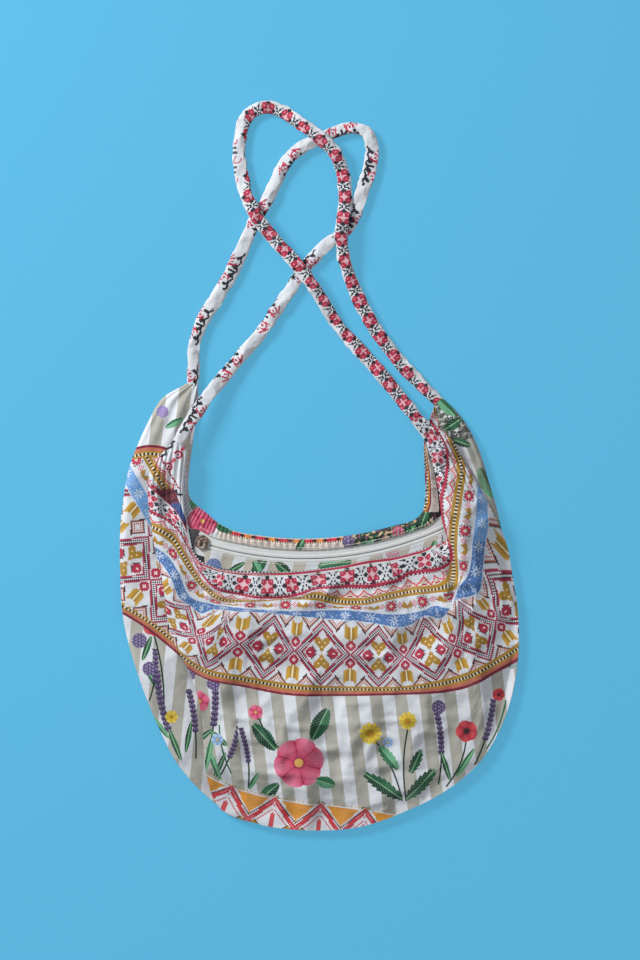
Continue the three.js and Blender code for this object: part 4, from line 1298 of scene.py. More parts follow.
class SheetLine:
    """A smooth line on the layout sheet, against which places are measured."""

    def __init__(self, knots: Sequence[tuple[float, float]], middle: float = 320.0,
                 reach: float = 60.0) -> None:
        """Draws the line.

        Args:
            knots: places on the line, from its left end.
            middle: how far across the sheet the lengths along the line begin.
            reach: how far the line runs on beyond its ends.
        """
        line = even_steps(smooth_curve(np.array(knots, dtype=float), 40 * len(knots)), 1.0)
        start = (line[0] - line[3]) / np.linalg.norm(line[0] - line[3])
        end = (line[-1] - line[-4]) / np.linalg.norm(line[-1] - line[-4])
        steps = np.arange(1.0, reach)[:, None]
        self.points = np.concatenate([line[0] + start * steps[::-1], line, line[-1] + end * steps])
        tangent = np.gradient(self.points, axis=0)
        self.tangents = tangent / np.linalg.norm(tangent, axis=1, keepdims=True)
        self.normals = np.stack([-self.tangents[:, 1], self.tangents[:, 0]], axis=1)
        gone = lengths_along(self.points)
        self.lengths = gone - gone[np.argmin(np.abs(self.points[:, 0] - middle))]
        self.tree = KDTree(len(self.points))
        for index, (x, y) in enumerate(self.points):
            self.tree.insert((x, y, 0.0), index)
        self.tree.balance()

    def measure(self, places: Array) -> tuple[Array, Array]:
        """Measures places against the line.

        Args:
            places: places on the sheet.

        Returns:
            How far below or outside the line they are, and how far along it.
        """
        nearest = np.array([self.tree.find((x, y, 0.0))[1] for x, y in places])
        away = places - self.points[nearest]
        outside = (away * self.normals[nearest]).sum(-1)
        return outside, self.lengths[nearest] + (away * self.tangents[nearest]).sum(-1)


class BandMap:
    """The bands of a print that lie between lines on the sheet, from the innermost outwards."""

    def __init__(self, lines: Iterable[Sequence[tuple[float, float]]], widths: Sequence[float],
                 bands: Sequence[Band], flipped: Sequence[Band] = ()) -> None:
        """Keeps the bands.

        Args:
            lines: places on the lines between the bands.
            widths: the width of each band between two lines, on the flat cloth.
            bands: the bands, from the one before the first line.
            flipped: the bands that are printed the other way round across.
        """
        self.lines = [SheetLine(knots) for knots in lines]
        self.widths = np.array([1.0, *widths, 1.0])
        self.kinds = np.array([band.value for band in bands])
        self.flipped = np.array([band in flipped for band in bands])

    def lay(self, places: Array, faces: Array) -> tuple[Array, Array]:
        """Lays the bands on a mesh.

        Args:
            places: the place on the sheet of each point.
            faces: the points at the corners of each face.

        Returns:
            The material of each face, and the place along and across its band of each face corner.
        """
        used, faces = np.unique(faces, return_inverse=True)
        faces = faces.reshape(-1, 4)
        measured = [line.measure(places[used]) for line in self.lines]
        outside = np.stack([far for far, _ in measured])
        along = np.stack([run for _, run in measured])
        band = (outside[:, faces].mean(axis=-1) > 0).sum(axis=0)
        far, run = outside[:, faces], along[:, faces]
        pick = np.arange(len(faces))
        last = len(self.lines)
        before, after = np.clip(band - 1, 0, last - 1), np.clip(band, 0, last - 1)
        far_before, far_after = far[before, pick], far[after, pick]
        run_before, run_after = run[before, pick], run[after, pick]
        inside = ((band > 0) & (band < last))[:, None]
        spread = np.where(inside, np.maximum(far_before - far_after, 0.5), 1.0)
        share = np.where(inside, np.clip(far_before / spread, -0.6, 1.6), 0.0)
        widths = self.widths[band][:, None]
        share = np.where(inside & self.flipped[band][:, None], 1 - share, share)
        v = np.where(inside, share * widths, far_before)
        u = np.where(inside, run_after, run_before)
        return self.kinds[band], np.stack([u, v], axis=-1)


def slanted(distance: float) -> tuple[tuple[float, float], ...]:
    """A straight line of the print where it slants over the left horn, some distance inwards."""
    x, y = 131.3 + 0.862 * distance, 494.7 - 0.507 * distance
    return tuple((x + 0.507 * run, y + 0.862 * run) for run in (90, 40, 0, -40, -70))


FRONT_BANDS = (
    Band.HEM_EDGE, Band.ROSETTES, Band.ZIGZAG, Band.BEADS, Band.HEARTS, Band.SNOW, Band.DIAMONDS,
    Band.BORDER, Band.STRIPES_MIDDLE, Band.HEM,
)
FRONT_WIDTHS = (23, 12, 5.5, 16, 14, 66, 9, 120)
FRONT_LINES = (
    ((166, 500), (178, 512), (187, 530), (191, 551), (200, 563), (215, 569), (231, 572), (250, 573.6),
     (270, 573.8), (300, 572.5), (322, 570), (345, 566.5), (366, 562), (393, 558.5), (412, 554), (428, 548.5),
     (434, 540), (427, 522), (421, 500), (425, 480), (427, 460), (425, 445), (412, 425)),
    ((155, 513), (168, 520), (180, 531), (188, 546), (200, 570), (215, 587), (240, 594), (252, 597),
     (268, 598), (285, 597), (300, 594), (315, 589), (345, 586), (370, 586), (385, 583), (398, 580),
     (408, 573), (420, 571), (440, 568), (452, 560), (447, 535), (443, 520), (441, 500), (445, 480),
     (447, 460), (445, 445), (430, 420)),
    ((150, 522), (163, 527), (176, 536), (186, 553), (200, 577), (222, 597), (250, 600), (300, 597),
     (315, 592), (340, 598), (364, 598.5), (388, 593), (413, 588), (437, 585), (448, 575), (448, 541),
     (449, 524), (453.5, 495), (457, 472), (455, 456), (448, 440)),
    ((149, 529), (161, 534), (173, 543), (184, 561), (200, 583), (220, 600), (250, 600.8), (300, 598),
     (315, 599), (340, 604), (364, 604), (388, 598.5), (413, 593.5), (437, 591), (455, 587), (455, 545),
     (456, 524), (460.5, 495), (464, 472), (462, 456), (456, 440)),
    ((142, 540), (156, 546), (170, 556), (180, 572), (191, 595), (207, 601.6), (240, 607), (290, 610),
     (345, 609), (395, 613), (420, 610), (435, 604), (449, 606), (458, 585), (466, 574), (469, 560),
     (470, 542), (473, 518), (475.5, 483), (474, 470)),
    ((150, 552), (161.6, 562.5), (172, 578), (180, 597), (191, 605), (202, 613), (215, 609), (240, 611),
     (262, 612), (320, 618), (370, 622), (400, 627), (412, 623), (425, 615), (440, 618), (455, 600),
     (478, 592), (482, 566), (484.6, 541), (487, 529), (487, 503), (488, 495)),
    ((165, 632), (183, 652), (205, 667), (244, 675.6), (287, 683), (340, 686), (400, 686), (437, 680),
     (461, 674), (491, 661), (518, 643), (530, 632)),
    ((160, 645), (182, 662), (206, 676.7), (244, 685), (287, 693), (340, 694), (400, 692.4), (443, 690),
     (467, 685), (491, 673), (518, 658.5), (530, 650)),
    ((185, 745), (205, 768), (235, 784), (290, 797), (340, 803), (400, 812), (450, 830)),
)
HORN_BANDS = (Band.TURNED_DIAMONDS, Band.SNOW, Band.HEARTS, Band.BEADS, Band.ZIGZAG, Band.SCROLLS)
HORN_OFFSETS = (0, 15, 30, 36, 46)
HORN_WIDTHS = (14, 16, 5.5, 12)
FLAP_BANDS = (Band.BACK_MEADOW, Band.BORDER, Band.TURNED_DIAMONDS, Band.BORDER, Band.BACK_MEADOW)
FLAP_WIDTHS = (9, 150, 9)
FLAP_LINES = (
    ((125, 452), (138, 448), (150, 446), (165, 448), (180, 455)),
    ((120, 462), (135, 459), (150, 457), (163, 459), (180, 466)),
    ((118, 601), (124, 604), (147, 617), (178, 640)),
    ((118, 611), (124, 613), (147, 627), (178, 652)),
)


class PrintLayout:
    """Which band of the print lies where on the two panels."""

    def __init__(self) -> None:
        """Draws the lines of every part of the print."""
        self.front = BandMap(FRONT_LINES, FRONT_WIDTHS, FRONT_BANDS)
        horn = [slanted(distance) for distance in HORN_OFFSETS]
        self.horn = BandMap(horn, HORN_WIDTHS, HORN_BANDS, (Band.HEARTS, Band.ZIGZAG))
        self.flap = BandMap(FLAP_LINES, FLAP_WIDTHS, FLAP_BANDS)
        self.flap.flipped[1] = True

    def relay(self, chosen: Array, bands: BandMap, net: Array, faces: Array,
              laid: tuple[Array, Array]) -> None:
        """Lays other bands on chosen faces."""
        if chosen.any():
            laid[0][chosen], laid[1][chosen] = bands.lay(net, faces[chosen])

    def lay(self, places: Array, faces: Array, lap: Array | None = None) -> tuple[Array, Array]:
        """Lays the print on a panel.

        Args:
            places: the place on the sheet of each point of its net.
            faces: the points at the corners of each face.
            lap: which faces are folded over to the front, on the back panel.

        Returns:
            The material of each face, and the place along and across its band of each face corner.
        """
        kinds, along = laid = self.front.lay(places, faces)
        middle = places[faces].mean(axis=1)
        x, y = middle[:, 0], middle[:, 1]
        edge = Band.HEM_EDGE.value
        if lap is None:
            horn = (kinds == edge) & (x < 193) & (y < 546)
            self.relay(horn, self.horn, places, faces, laid)
            lower = horn & (y > 489)
            kinds[lower] = Band.SCROLLS.value
            # Faces inside the fold of the left horn get the HOLLOW print, which paints their shade dark.
            hollow = x < np.interp(y, (489, 503, 521, 536), (176, 181, 187, 188))
            kinds[lower & hollow & (y < 538)] = Band.HOLLOW.value
        else:
            left = lap & (x < 300)
            self.relay(left, self.flap, places, faces, laid)
            self.relay(left & (kinds == Band.TURNED_DIAMONDS.value), self.horn, places, faces, laid)
            right = lap & (x > 300)
            kinds[right] = Band.LEAVES.value
            along[right] = -9.0
        stripes = kinds == Band.STRIPES_MIDDLE.value
        kinds[stripes & (x < 238)] = Band.STRIPES_LEFT.value
        kinds[stripes & (x > 340)] = Band.STRIPES_RIGHT.value
        return kinds, along


@dataclass(frozen=True)
class Fold:
    """A soft fold of the cloth along a line on the sheet: a ridge, or a valley below zero."""

    start: tuple[float, float]
    end: tuple[float, float]
    height: float
    width: float

    def rise(self, places: Array) -> Array:
        """How far the fold lifts the cloth at places on the sheet."""
        run = np.subtract(self.end, self.start)
        away = places - self.start
        share = np.clip((away @ run) / (run @ run), 0, 1)
        distance = np.linalg.norm(away - share[..., None] * run, axis=-1) / self.width
        return self.height * np.exp(-distance * distance)


STRAP_WIDTH = 13.4
STRAP_HEIGHT = 7.6
FLAT_STRAP = STRAP_HEIGHT / 2 + GAP
FOLD_RISE = 8.2
SEAM_RISE = 4.8
SEAM_TOP = SEAM_RISE + 2 * GAP
RIM_RISE = 2.4
ZIP_RISE = 9.6
TAPE_THICK = 0.8
OVER_TAPE = ZIP_RISE + TAPE_THICK + GAP
ZIP_EDGE = OVER_TAPE + FACING + GAP
OVER_FOLD = FOLD_RISE + CLOTH + GAP


@dataclass(frozen=True)
class Mouth:
    """The mouth of a horn, where a strap comes out of it."""

    x: float
    y: float
    along: tuple[float, float]
    height: float

    def rib(self, count: int, start: float, sweep: float) -> Array:
        """Points of the cloth's middle that run almost all round the strap's end.

        Args:
            count: how many points.
            start: the angle of the first one, in degrees from the strap's right side.
            sweep: how far they turn, in degrees.

        Returns:
            The points.
        """
        angles = np.radians(start + sweep * np.arange(count) / (count - 1))
        across = np.array([-self.along[1], self.along[0]]) / math.hypot(*self.along)
        reach = (STRAP_WIDTH - CLOTH) / 2 * np.cos(angles)
        height = self.height + (STRAP_HEIGHT - CLOTH) / 2 * np.sin(angles)
        return on_sheet(np.stack([self.x + across[0] * reach, self.y + across[1] * reach, height], axis=-1))

    def beyond(self, distance: float) -> Array:
        """A point a distance out of the mouth along the strap."""
        along = np.array(self.along) / math.hypot(*self.along)
        return on_sheet(np.array([self.x + along[0] * distance, self.y + along[1] * distance, self.height]))


LEFT_BACK = Mouth(192.5, 384, (0.05, -1), FLAT_STRAP)
LEFT_FRONT = Mouth(179, 443, (0.51, -0.86), FOLD_RISE + CLOTH + FLAT_STRAP + 2.4)
RIGHT_FRONT = Mouth(416, 419, (-0.58, -0.81), FLAT_STRAP + 5)
RIGHT_BACK = Mouth(438, 401.5, (-0.74, -0.67), FLAT_STRAP)


def pleats(net: Array, ribs: int, depth: float, count: int) -> Array:
    """How far pleats that run out of both end ribs of a net lift it.

    Args:
        net: the net.
        ribs: how many ribs the net was made through.
        depth: the height of the pleats.
        count: how many pleats there are.

    Returns:
        The heights.
    """
    rows, columns = net.shape[:2]
    place = np.arange(rows) * (ribs - 1) / (rows - 1)
    nearest = np.minimum(place, ribs - 1 - place) / 3.5
    fade = np.where(nearest < 1, np.sin(np.pi * np.clip(nearest, 0, 1)), 0)
    longer = np.exp(-((np.minimum(place, ribs - 1 - place) - 2.2) / 2.2) ** 2)
    across = np.linspace(0, 1, columns)
    waves = (1 - np.cos(2 * np.pi * count * (across + 0.03 * np.sin(9 * across)))) / 2
    edge = np.clip(np.minimum(across, 1 - across) * 12, 0, 1)
    return depth * (fade + 0.6 * longer)[:, None] * (waves * edge)[None]


@dataclass
class FrontPanel:
    """The front cloth of the bag with its two horns."""

    body: str = "bag"
    rows: int = 331
    columns: int = 127
    thickness: float = 0.9
    pleat_depth: float = 1.5
    pucker_step: float = 3.3
    pucker_pitch: float = 11.0
    pucker_height: float = 0.5
    crumples: tuple = ((3.0, 58, 11), (2.0, 27, 23), (0.6, 12, 37))
    ribs: tuple = (
        ((187.5, 452, 17), (182, 455, 19.4), (175, 457, 20.4),
         (168, 458, 20), (161, 459, 18), (156, 460, 15)),
        ((186, 470, 16.5), (180.5, 472, 18.6), (173, 473, 17),
         (165.5, 473, 17), (158, 472, 17.5), (151, 470, 14.2)),
        ((184.5, 488, 16.5), (180, 490, 17.4), (173, 492, 11.5),
         (165, 492, 12), (157, 490, 17.6), (149, 488, 14)),
        ((185, 505, 15.5), (181, 508, 15.5), (174, 510, 10.8),
         (166, 511, 11.6), (158, 510, 17.6), (150, 508, 14)),
        ((187.5, 522, 14), (182, 525, 14.5), (175, 527, 14),
         (168, 528, 16), (160, 528, 17.5), (152.5, 527, 13.6)),
        ((190.5, 537, 13), (184, 541, 15), (177, 545, 16.5),
         (170, 547, 17.6), (163, 549, 17.6), (156.5, 551, 13.4)),
        ((194, 551, 12.4), (187, 557, 15.5), (180, 564, 18),
         (174, 570, 19), (169, 575, 18), (163.5, 580, 13.4)),
        ((202, 561, ZIP_EDGE), (194, 572, 15.5), (188, 583, 18.4),
         (182, 594, 19.6), (175, 604, 18.6), (167.5, 612, 13.4)),
        ((213, 566, ZIP_EDGE), (206, 582, 15.5), (199, 600, 18),
         (192, 617, 20), (185, 632, 19), (176, 644, 13.4)),
        ((227, 569.5, ZIP_EDGE), (220, 592, 15), (213, 617, 17.6),
         (206, 640, 19.6), (200, 658, 18.6), (191, 672, 13.2)),
        ((244, 570.3, ZIP_EDGE), (238, 602, 15.6), (231, 635, 17.6),
         (223, 667, 19), (214, 692, 17.4), (202, 713, 12.4)),
        ((263, 571.4, ZIP_EDGE), (259, 611, 16), (252, 652, 17.6),
         (243, 694, 17.8), (230, 733, 15), (206, 766, 10.6)),
        ((284, 571.2, ZIP_EDGE), (281, 617, 16.2), (275, 667, 17.6),
         (264, 717, 16.2), (247, 768, 11.5), (219, 806, SEAM_TOP)),
        ((306, 570, ZIP_EDGE), (304, 621, 16), (300, 675, 17.2),
         (293, 729, 15.4), (281, 781, 10.6), (262, 824, SEAM_TOP)),
        ((328, 567.4, ZIP_EDGE), (328, 622, 15.4), (327, 678, 17),
         (325, 734, 15), (320, 788, 10.4), (311, 829.5, SEAM_TOP)),
        ((350, 564.2, ZIP_EDGE), (352, 620, 15), (355, 676, 16.8),
         (357, 732, 15), (359, 785, 10.2), (358, 826.4, SEAM_TOP)),
        ((372, 559.6, ZIP_EDGE), (377, 615, 14.6), (384, 672, 16.6),
         (391, 726, 14.8), (399, 773, 10), (404, 811, SEAM_TOP)),
        ((393, 556.4, ZIP_EDGE), (401, 610, 14.2), (411, 664, 16.6),
         (422, 714, 14.6), (435, 754, 10), (447, 789, SEAM_TOP)),
        ((412, 552, ZIP_EDGE), (423, 600, 14), (437, 648, 16.6),
         (452, 694, 14.4), (467, 730, 9.8), (482, 758, SEAM_TOP)),
        ((430, 546, ZIP_EDGE), (441, 582, 14), (455, 616, 16.6),
         (473, 651, 14), (490, 681, 9.8), (506, 713, SEAM_TOP)),
        ((443, 542.5, ZIP_EDGE + 0.6), (450, 567, 14.4), (462, 592, 17.4),
         (482, 618, 14.6), (501, 642, 9.8), (516.5, 667, SEAM_TOP)),
        ((447, 538, 15.4), (455, 554, 20.6), (467, 573, 20),
         (485, 593, 15.4), (503, 611, 10), (518.2, 625, SEAM_TOP)),
        ((444.5, 530.5, 15.6), (451.5, 534, 24.4), (461, 540, 27),
         (474, 550, 23.5), (492, 564, 14), (512.5, 579, SEAM_TOP)),
        ((441.8, 522.5, 15.6), (449, 519.5, 24.6), (458.5, 516.5, 28),
         (470, 516, 26.4), (486, 522, 17.5), (504.5, 540, SEAM_TOP + 1)),
        ((440.4, 510, 15), (447, 506.5, 22.4), (456, 504.5, 25.6),
         (467, 504, 23.6), (480, 506, 18), (491, 511, OVER_FOLD + 1.6)),
        ((438.6, 494, 13.6), (445, 492, 18.6), (454, 490.5, 20.6),
         (463.5, 490, 19.4), (473, 490.5, 16), (481.5, 493, OVER_FOLD + 1.6)),
        ((435.4, 476, 12.6), (441.5, 474, 16), (449, 472.5, 17.6),
         (457, 472, 16.8), (465, 473, 14.6), (471.5, 475.5, OVER_FOLD + 1.4)),
        ((430.6, 458, 12), (436, 455.5, 14.6), (442, 453.5, 15.8),
         (448.5, 452.5, 15.4), (455, 453.5, 14), (460.5, 456, OVER_FOLD + 1)),
        ((425, 442, 11), (429.5, 439, 12.8), (434.5, 436.5, 13.8),
         (440, 435, 13.6), (445, 435.5, 13), (449, 438, OVER_FOLD + 0.6)),
    )
    folds: tuple = (
        Fold((222, 583), (300, 586), 3.2, 9),
        Fold((216, 601), (318, 606), -3.4, 8),
        Fold((250, 628), (392, 634), 2.4, 13),
        Fold((372, 604), (446, 590), 3.4, 9),
        Fold((396, 583), (446, 573), -2.8, 7),
        Fold((212, 640), (232, 742), 2.6, 12),
        Fold((236, 700), (262, 790), -2.6, 9),
        Fold((300, 706), (306, 800), 2.2, 14),
        Fold((338, 700), (338, 806), -2.0, 9),
        Fold((404, 704), (414, 784), 2.4, 12),
        Fold((440, 700), (452, 768), -2.2, 8),
        Fold((484, 606), (470, 700), 2.2, 12),
    )
    creases: tuple = (
        Fold((214, 712), (300, 727), 1.3, 2.6),
        Fold((300, 727), (352, 719), 1.1, 2.4),
        Fold((352, 722), (470, 714), 1.1, 2.6),
        Fold((232, 768), (330, 776), 1.3, 2.4),
        Fold((330, 776), (430, 768), -1.2, 3.0),
        Fold((205, 590), (300, 600), -2.4, 3.0),
        Fold((330, 597), (440, 578), -2.0, 3.0),
        Fold((452, 520), (450, 606), -2.4, 4.0),
        Fold((463, 520), (462, 600), 2.0, 6.0),
        Fold((396, 628), (452, 606), 1.8, 5.0),
        Fold((262, 705), (286, 792), 1.8, 6.5),
        Fold((320, 704), (326, 760), -1.6, 6.0),
        Fold((372, 700), (378, 800), 1.8, 7.0),
        Fold((424, 700), (436, 760), 1.6, 6.0),
        Fold((222, 720), (230, 780), -2.2, 6.0),
        Fold((470, 680), (486, 640), -1.8, 6.0),
        Fold((236, 655), (300, 668), -1.6, 7.0),
        Fold((330, 650), (404, 662), 1.5, 8.0),
        Fold((200, 560), (236, 640), 1.6, 6.0),
    )

    def shape(self) -> Array:
        """The net of the cloth's middle, with its folds, creases and pleats."""
        half = CLOTH / 2
        ribs = on_sheet(self.ribs) + (0, 0, half)
        count = ribs.shape[1]
        left = LEFT_FRONT.rib(count, 10, 255)
        right = RIGHT_FRONT.rib(count, 170, -255)
        every = np.concatenate([left[None], ribs, right[None]])
        net = loft(every, self.rows, self.columns)
        places = sheet_places(net)
        across = np.arange(self.columns)
        fade, near = edge_fade(self.columns, 0.25), edge_fade(self.columns, 0.06)
        rise = sum(fold.rise(places) for fold in self.folds) * fade
        rise += sum(crease.rise(places) for crease in self.creases) * near
        x, y = places[..., 0], places[..., 1]
        chance = crumples(x, y, self.crumples) * np.clip((x - 175) / 60, 0.3, 1)
        run = np.arange(self.rows)[:, None] * self.pucker_step
        seam = np.clip((across - 0.9 * self.columns) / (0.1 * self.columns), 0, 1)[None]
        phase = 2 * np.pi * run / self.pucker_pitch + 2 * soft_noise(run, run * 0, 40, 5)
        pucker = self.pucker_height * (1 + np.sin(phase)) * seam
        net[..., 2] += rise + chance * near + pucker + pleats(net, len(every), self.pleat_depth, 7)
        return net

    def build(self, layout: PrintLayout, materials: Sequence[bpy.types.Material],
              thread: bpy.types.Material) -> bpy.types.Object:
        """Makes the panel and the stitches along its zip edge.

        Args:
            layout: where its print lies.
            materials: what the print's bands are made of.
            thread: what the stitches are made of.

        Returns:
            The panel, in place of its CAD solid.
        """
        net = self.shape()
        made = dressed_sheet("front_cloth", net, self.thickness, 0.0, layout, materials)
        Seam("front_panel_stitches").build(net[100:240], 2, self.thickness, thread)
        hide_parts("front_panel")
        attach(made, self.body)
        return made


def dressed_sheet(name: str, net: Array, thickness: float, shift: float, layout: PrintLayout,
                  materials: Sequence[bpy.types.Material], lap: Array | None = None) -> bpy.types.Object:
    """Makes a sheet of cloth that carries the banded print.

    Args:
        name: the object's name.
        net: the points of its middle.
        thickness: its thickness.
        shift: how far it moves along its normals.
        layout: where the print lies.
        materials: what the print's bands are made of.
        lap: which points of the net are folded over to the front.

    Returns:
        The object.
    """
    points, faces = cloth_layers(net, thickness, shift)
    places = sheet_places(net).reshape(-1, 2)
    on_net = faces % len(places)
    over = None if lap is None else lap.ravel()[on_net].all(axis=1)
    kinds, along = layout.lay(places, on_net, over)
    data = MeshData(points, faces, kinds, along, places[on_net])
    made = build_mesh(name, data, materials)
    log.info("%s: %d faces", name, len(faces))
    return made


@dataclass
class BackPanel:
    """The rear cloth of the bag with its two horns, folded round both sides to the front.

    Each rib gives its place on the rim, on the outline and where the cloth ends after it
    turns over to the front, with the height of the fold. Some end in a lip at the seam.
    """

    body: str = "bag"
    rows: int = 341
    columns: int = 113
    thickness: float = 0.9
    pleat_depth: float = 1.3
    crumples: tuple = ((0.8, 38, 53), (0.4, 19, 67))
    turn: float = 4.0
    ribs: tuple = (
        ((199, 402), (162, 399), (194, 402), 6.6),
        ((195.5, 424), (149.5, 420), (188, 424), 7.4),
        ((192.5, 447), (138.5, 444), (178, 448), FOLD_RISE),
        ((189.5, 470), (130, 466), (169, 473), FOLD_RISE),
        ((189.5, 495), (124.2, 496), (166, 500), FOLD_RISE),
        ((200, 510), (120.6, 530), (168, 530), FOLD_RISE),
        ((214, 521.5), (120.6, 572), (174, 570), FOLD_RISE),
        ((231, 534), (123.6, 618), (180, 612), FOLD_RISE),
        ((252, 538), (136, 667), (192, 651), FOLD_RISE),
        ((278, 540), (156, 720), (208, 690), FOLD_RISE - 0.6),
        ((303, 540.4), (181, 768), (214, 740), FOLD_RISE - 2),
        ((325, 540), (219, 806)),
        ((341, 539.4), (262, 824)),
        ((356, 538), (311, 829.5)),
        ((370, 536), (358, 826.4)),
        ((383, 533), (404, 811)),
        ((395, 530), (447, 789)),
        ((405, 526.5), (482, 758)),
        ((414, 522), (506, 713)),
        ((420, 516), (516.5, 667)),
        ((423, 509.5), (518.2, 625)),
        ((424.4, 502), (512.5, 579)),
        ((425, 494), (504.5, 541)),
        ((425, 484), (496.5, 509), (478, 511), FOLD_RISE),
        ((424.6, 472), (488, 480), (462, 484), FOLD_RISE),
        ((423.8, 458), (479.4, 452), (448, 459), FOLD_RISE),
        ((424, 442), (468.6, 429), (440, 440), FOLD_RISE),
        ((428, 425), (456, 411.5), (438.5, 426), 7.0),
    )

    def rib(self, rim: tuple, edge: tuple, lap: tuple | None = None, rise: float = 0.0) -> Array:
        """The points of one rib, from the rim to the lap or the seam's lip."""
        half = CLOTH / 2
        inward = np.subtract(rim, edge)
        run = np.linalg.norm(inward)
        inward = inward / run

        def spot(distance: float, height: float) -> list[float]:
            """A point a distance in from the outline, with the cloth's middle at a height."""
            return [edge[0] + inward[0] * distance, edge[1] + inward[1] * distance, height + half]

        floor = [spot(run, RIM_RISE), spot(run * 0.72, 0), spot(run * 0.38, 0), spot(self.turn, 0)]
        if lap is None:
            lip = SEAM_RISE - half
            return on_sheet([*floor, spot(1.1, 0.6), *(spot(0, lip * share) for share in (0.45, 0.72, 1))])
        over = np.subtract(lap, edge)
        first = self.turn / np.linalg.norm(over)
        on_lap = [[*(np.add(edge, over * share)), rise + half] for share in (first, (1 + first) / 2, 1)]
        return on_sheet([*floor, spot(0, rise / 2), *on_lap])

    def shape(self) -> Array:
        """The net of the cloth's middle, with its creases and pleats."""
        ribs = [self.rib(*rib) for rib in self.ribs]
        count = len(ribs[0])
        left = LEFT_BACK.rib(count, -30, -300)
        right = RIGHT_BACK.rib(count, 210, 300)
        every = np.stack([left, *ribs, right])
        net = loft(every, self.rows, self.columns)
        across = np.linspace(0, 1, self.columns)
        over = np.clip((across - 0.62) / 0.12, 0, 1) * np.clip((1 - across) / 0.05, 0, 1)
        places = sheet_places(net)
        x, y = places[..., 0], places[..., 1]
        chance = crumples(x, y, self.crumples)
        laps = np.array([len(rib) > 2 for rib in self.ribs])
        rows = np.arange(self.rows) * (len(every) - 1) / (self.rows - 1) - 1
        lapped = np.interp(rows, np.arange(len(laps)), laps.astype(float))
        lift = chance * over[None] * lapped[:, None]
        part = pleats(net, len(every), self.pleat_depth, 8) * over[None]
        net[..., 2] = np.maximum(net[..., 2] + lift + part, CLOTH / 2)
        return net

    def build(self, layout: PrintLayout, materials: Sequence[bpy.types.Material]) -> bpy.types.Object:
        """Makes the panel.

        Args:
            layout: where its print lies.
            materials: what the print's bands are made of.

        Returns:
            The panel, in place of its CAD solid.
        """
        net = self.shape()
        lap = np.zeros(net.shape[:2], bool)
        lap[:, round(self.columns * 4 / 7):] = True
        shift = (CLOTH - self.thickness) / 2
        made = dressed_sheet("back_cloth", net, self.thickness, shift, layout, materials, lap)
        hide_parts("back_panel")
        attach(made, self.body)
        return made


@dataclass
class StrapLoop:
    """A soft sewn tube of cloth from one horn to another."""

    name: str
    node: str
    start: Mouth
    end: Mouth
    route: tuple
    seed: int
    body: str = "bag"
    step: float = 2.0
    sides: int = 36
    width: float = 13.2
    height: float = 7.2
    inside: float = 2.0
    lead: float = 0.9

    @property
    def girth(self) -> float:
        """How far it is round the soft section."""
        return 2 * (self.width + self.height) * 0.82

    def path(self) -> Array:
        """The points that the strap's middle follows."""
        points = np.stack([
            self.start.beyond(self.lead), self.start.beyond(self.lead + 5), *on_sheet(self.route),
            self.end.beyond(self.lead + 5), self.end.beyond(self.lead),
        ])
        line = smooth_curve(points, 40 * len(points))
        line = np.concatenate([
            self.start.beyond(-self.inside)[None], line, self.end.beyond(-self.inside)[None],
        ])
        return even_steps(line, self.step)

    def sections(self, path: Array) -> Array:
        """The strap's section at each point of its path, with its creases."""
        gone = np.arange(len(path))[:, None] * self.step
        angle = np.linspace(0, 2 * np.pi, self.sides, endpoint=False)[None]
        flat = 0.5 + 0.5 * soft_noise(gone, gone * 0 + 3, 46, self.seed)
        half_width = self.width / 2 * (0.9 + 0.17 * flat)
        half_height = self.height / 2 * (1.0 - 0.22 * flat)
        across = np.sign(np.cos(angle)) * np.abs(np.cos(angle)) ** 0.9 * half_width
        up = np.sign(np.sin(angle)) * np.abs(np.sin(angle)) ** 0.85 * half_height
        around = angle / (2 * np.pi) * self.sides
        folds = crumple(gone * 0.35, around, 6.0, self.seed + 5)
        puckers = soft_noise(gone, around * 0.5, 5.0, self.seed + 9)
        deep = 1 + 0.11 * folds + 0.09 * puckers
        ends = np.minimum(gone, gone[-1] - gone)
        taper = 0.82 + 0.18 * np.clip(ends / 10, 0, 1)
        return np.stack([across * deep * taper, up * deep * taper], axis=-1)

    def build(self, material: bpy.types.Material) -> bpy.types.Object:
        """Makes the strap.

        Args:
            material: the printed cloth that it is sewn from.

        Returns:
            The strap, in place of its CAD solid.
        """
        path = self.path()
        points, faces = tube(path, self.sections(path))
        points[:, 2] = np.maximum(points[:, 2], 0.1)
        rings = len(path) * self.sides
        around = np.arange(self.sides) / self.sides * self.girth
        gone = np.repeat(np.arange(len(path)) * self.step, self.sides)
        places = np.stack([gone, np.tile(around, len(path))], axis=-1)
        places = np.concatenate([places, places[:1], places[-1:]])
        corners = places[faces]
        wraps = np.ptp(corners[..., 1], axis=1) > self.girth / 2
        low = corners[..., 1] < self.girth / 2
        corners[..., 1] += np.where(wraps[:, None] & low, self.girth, 0)
        corners[faces >= rings] = 0
        data = MeshData(points, faces, None, corners, corners)
        made = build_mesh(self.name, data, [material])
        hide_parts(self.node)
        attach(made, self.body)
        return made


LOW = FLAT_STRAP
HIGH = FLAT_STRAP + STRAP_HEIGHT + GAP

LEFT_LOOP = StrapLoop("left_strap", "strap_left_loop", LEFT_BACK, LEFT_FRONT, (
    (193.4, 366, LOW), (194.4, 345, LOW), (203, 320, LOW), (216, 300, LOW), (227.5, 280, LOW),
    (237.5, 260, LOW), (247, 238, LOW), (257, 218, LOW), (267, 200, LOW), (277, 180, LOW),
    (287, 161, LOW), (301, 148.5, LOW), (319, 139.5, LOW), (336, 132.5, LOW), (354, 128.5, LOW),
    (367, 134, LOW), (372, 150, LOW), (369, 171, LOW), (362, 193, LOW), (354.5, 214, LOW),
    (342, 233.5, LOW), (325, 247, LOW), (307, 266, LOW), (293, 286, LOW), (277, 310, LOW),
    (257, 338, LOW), (238, 361, LOW + 1), (219, 383, LOW + 4), (203, 404, LOW + 8),
), seed=71)

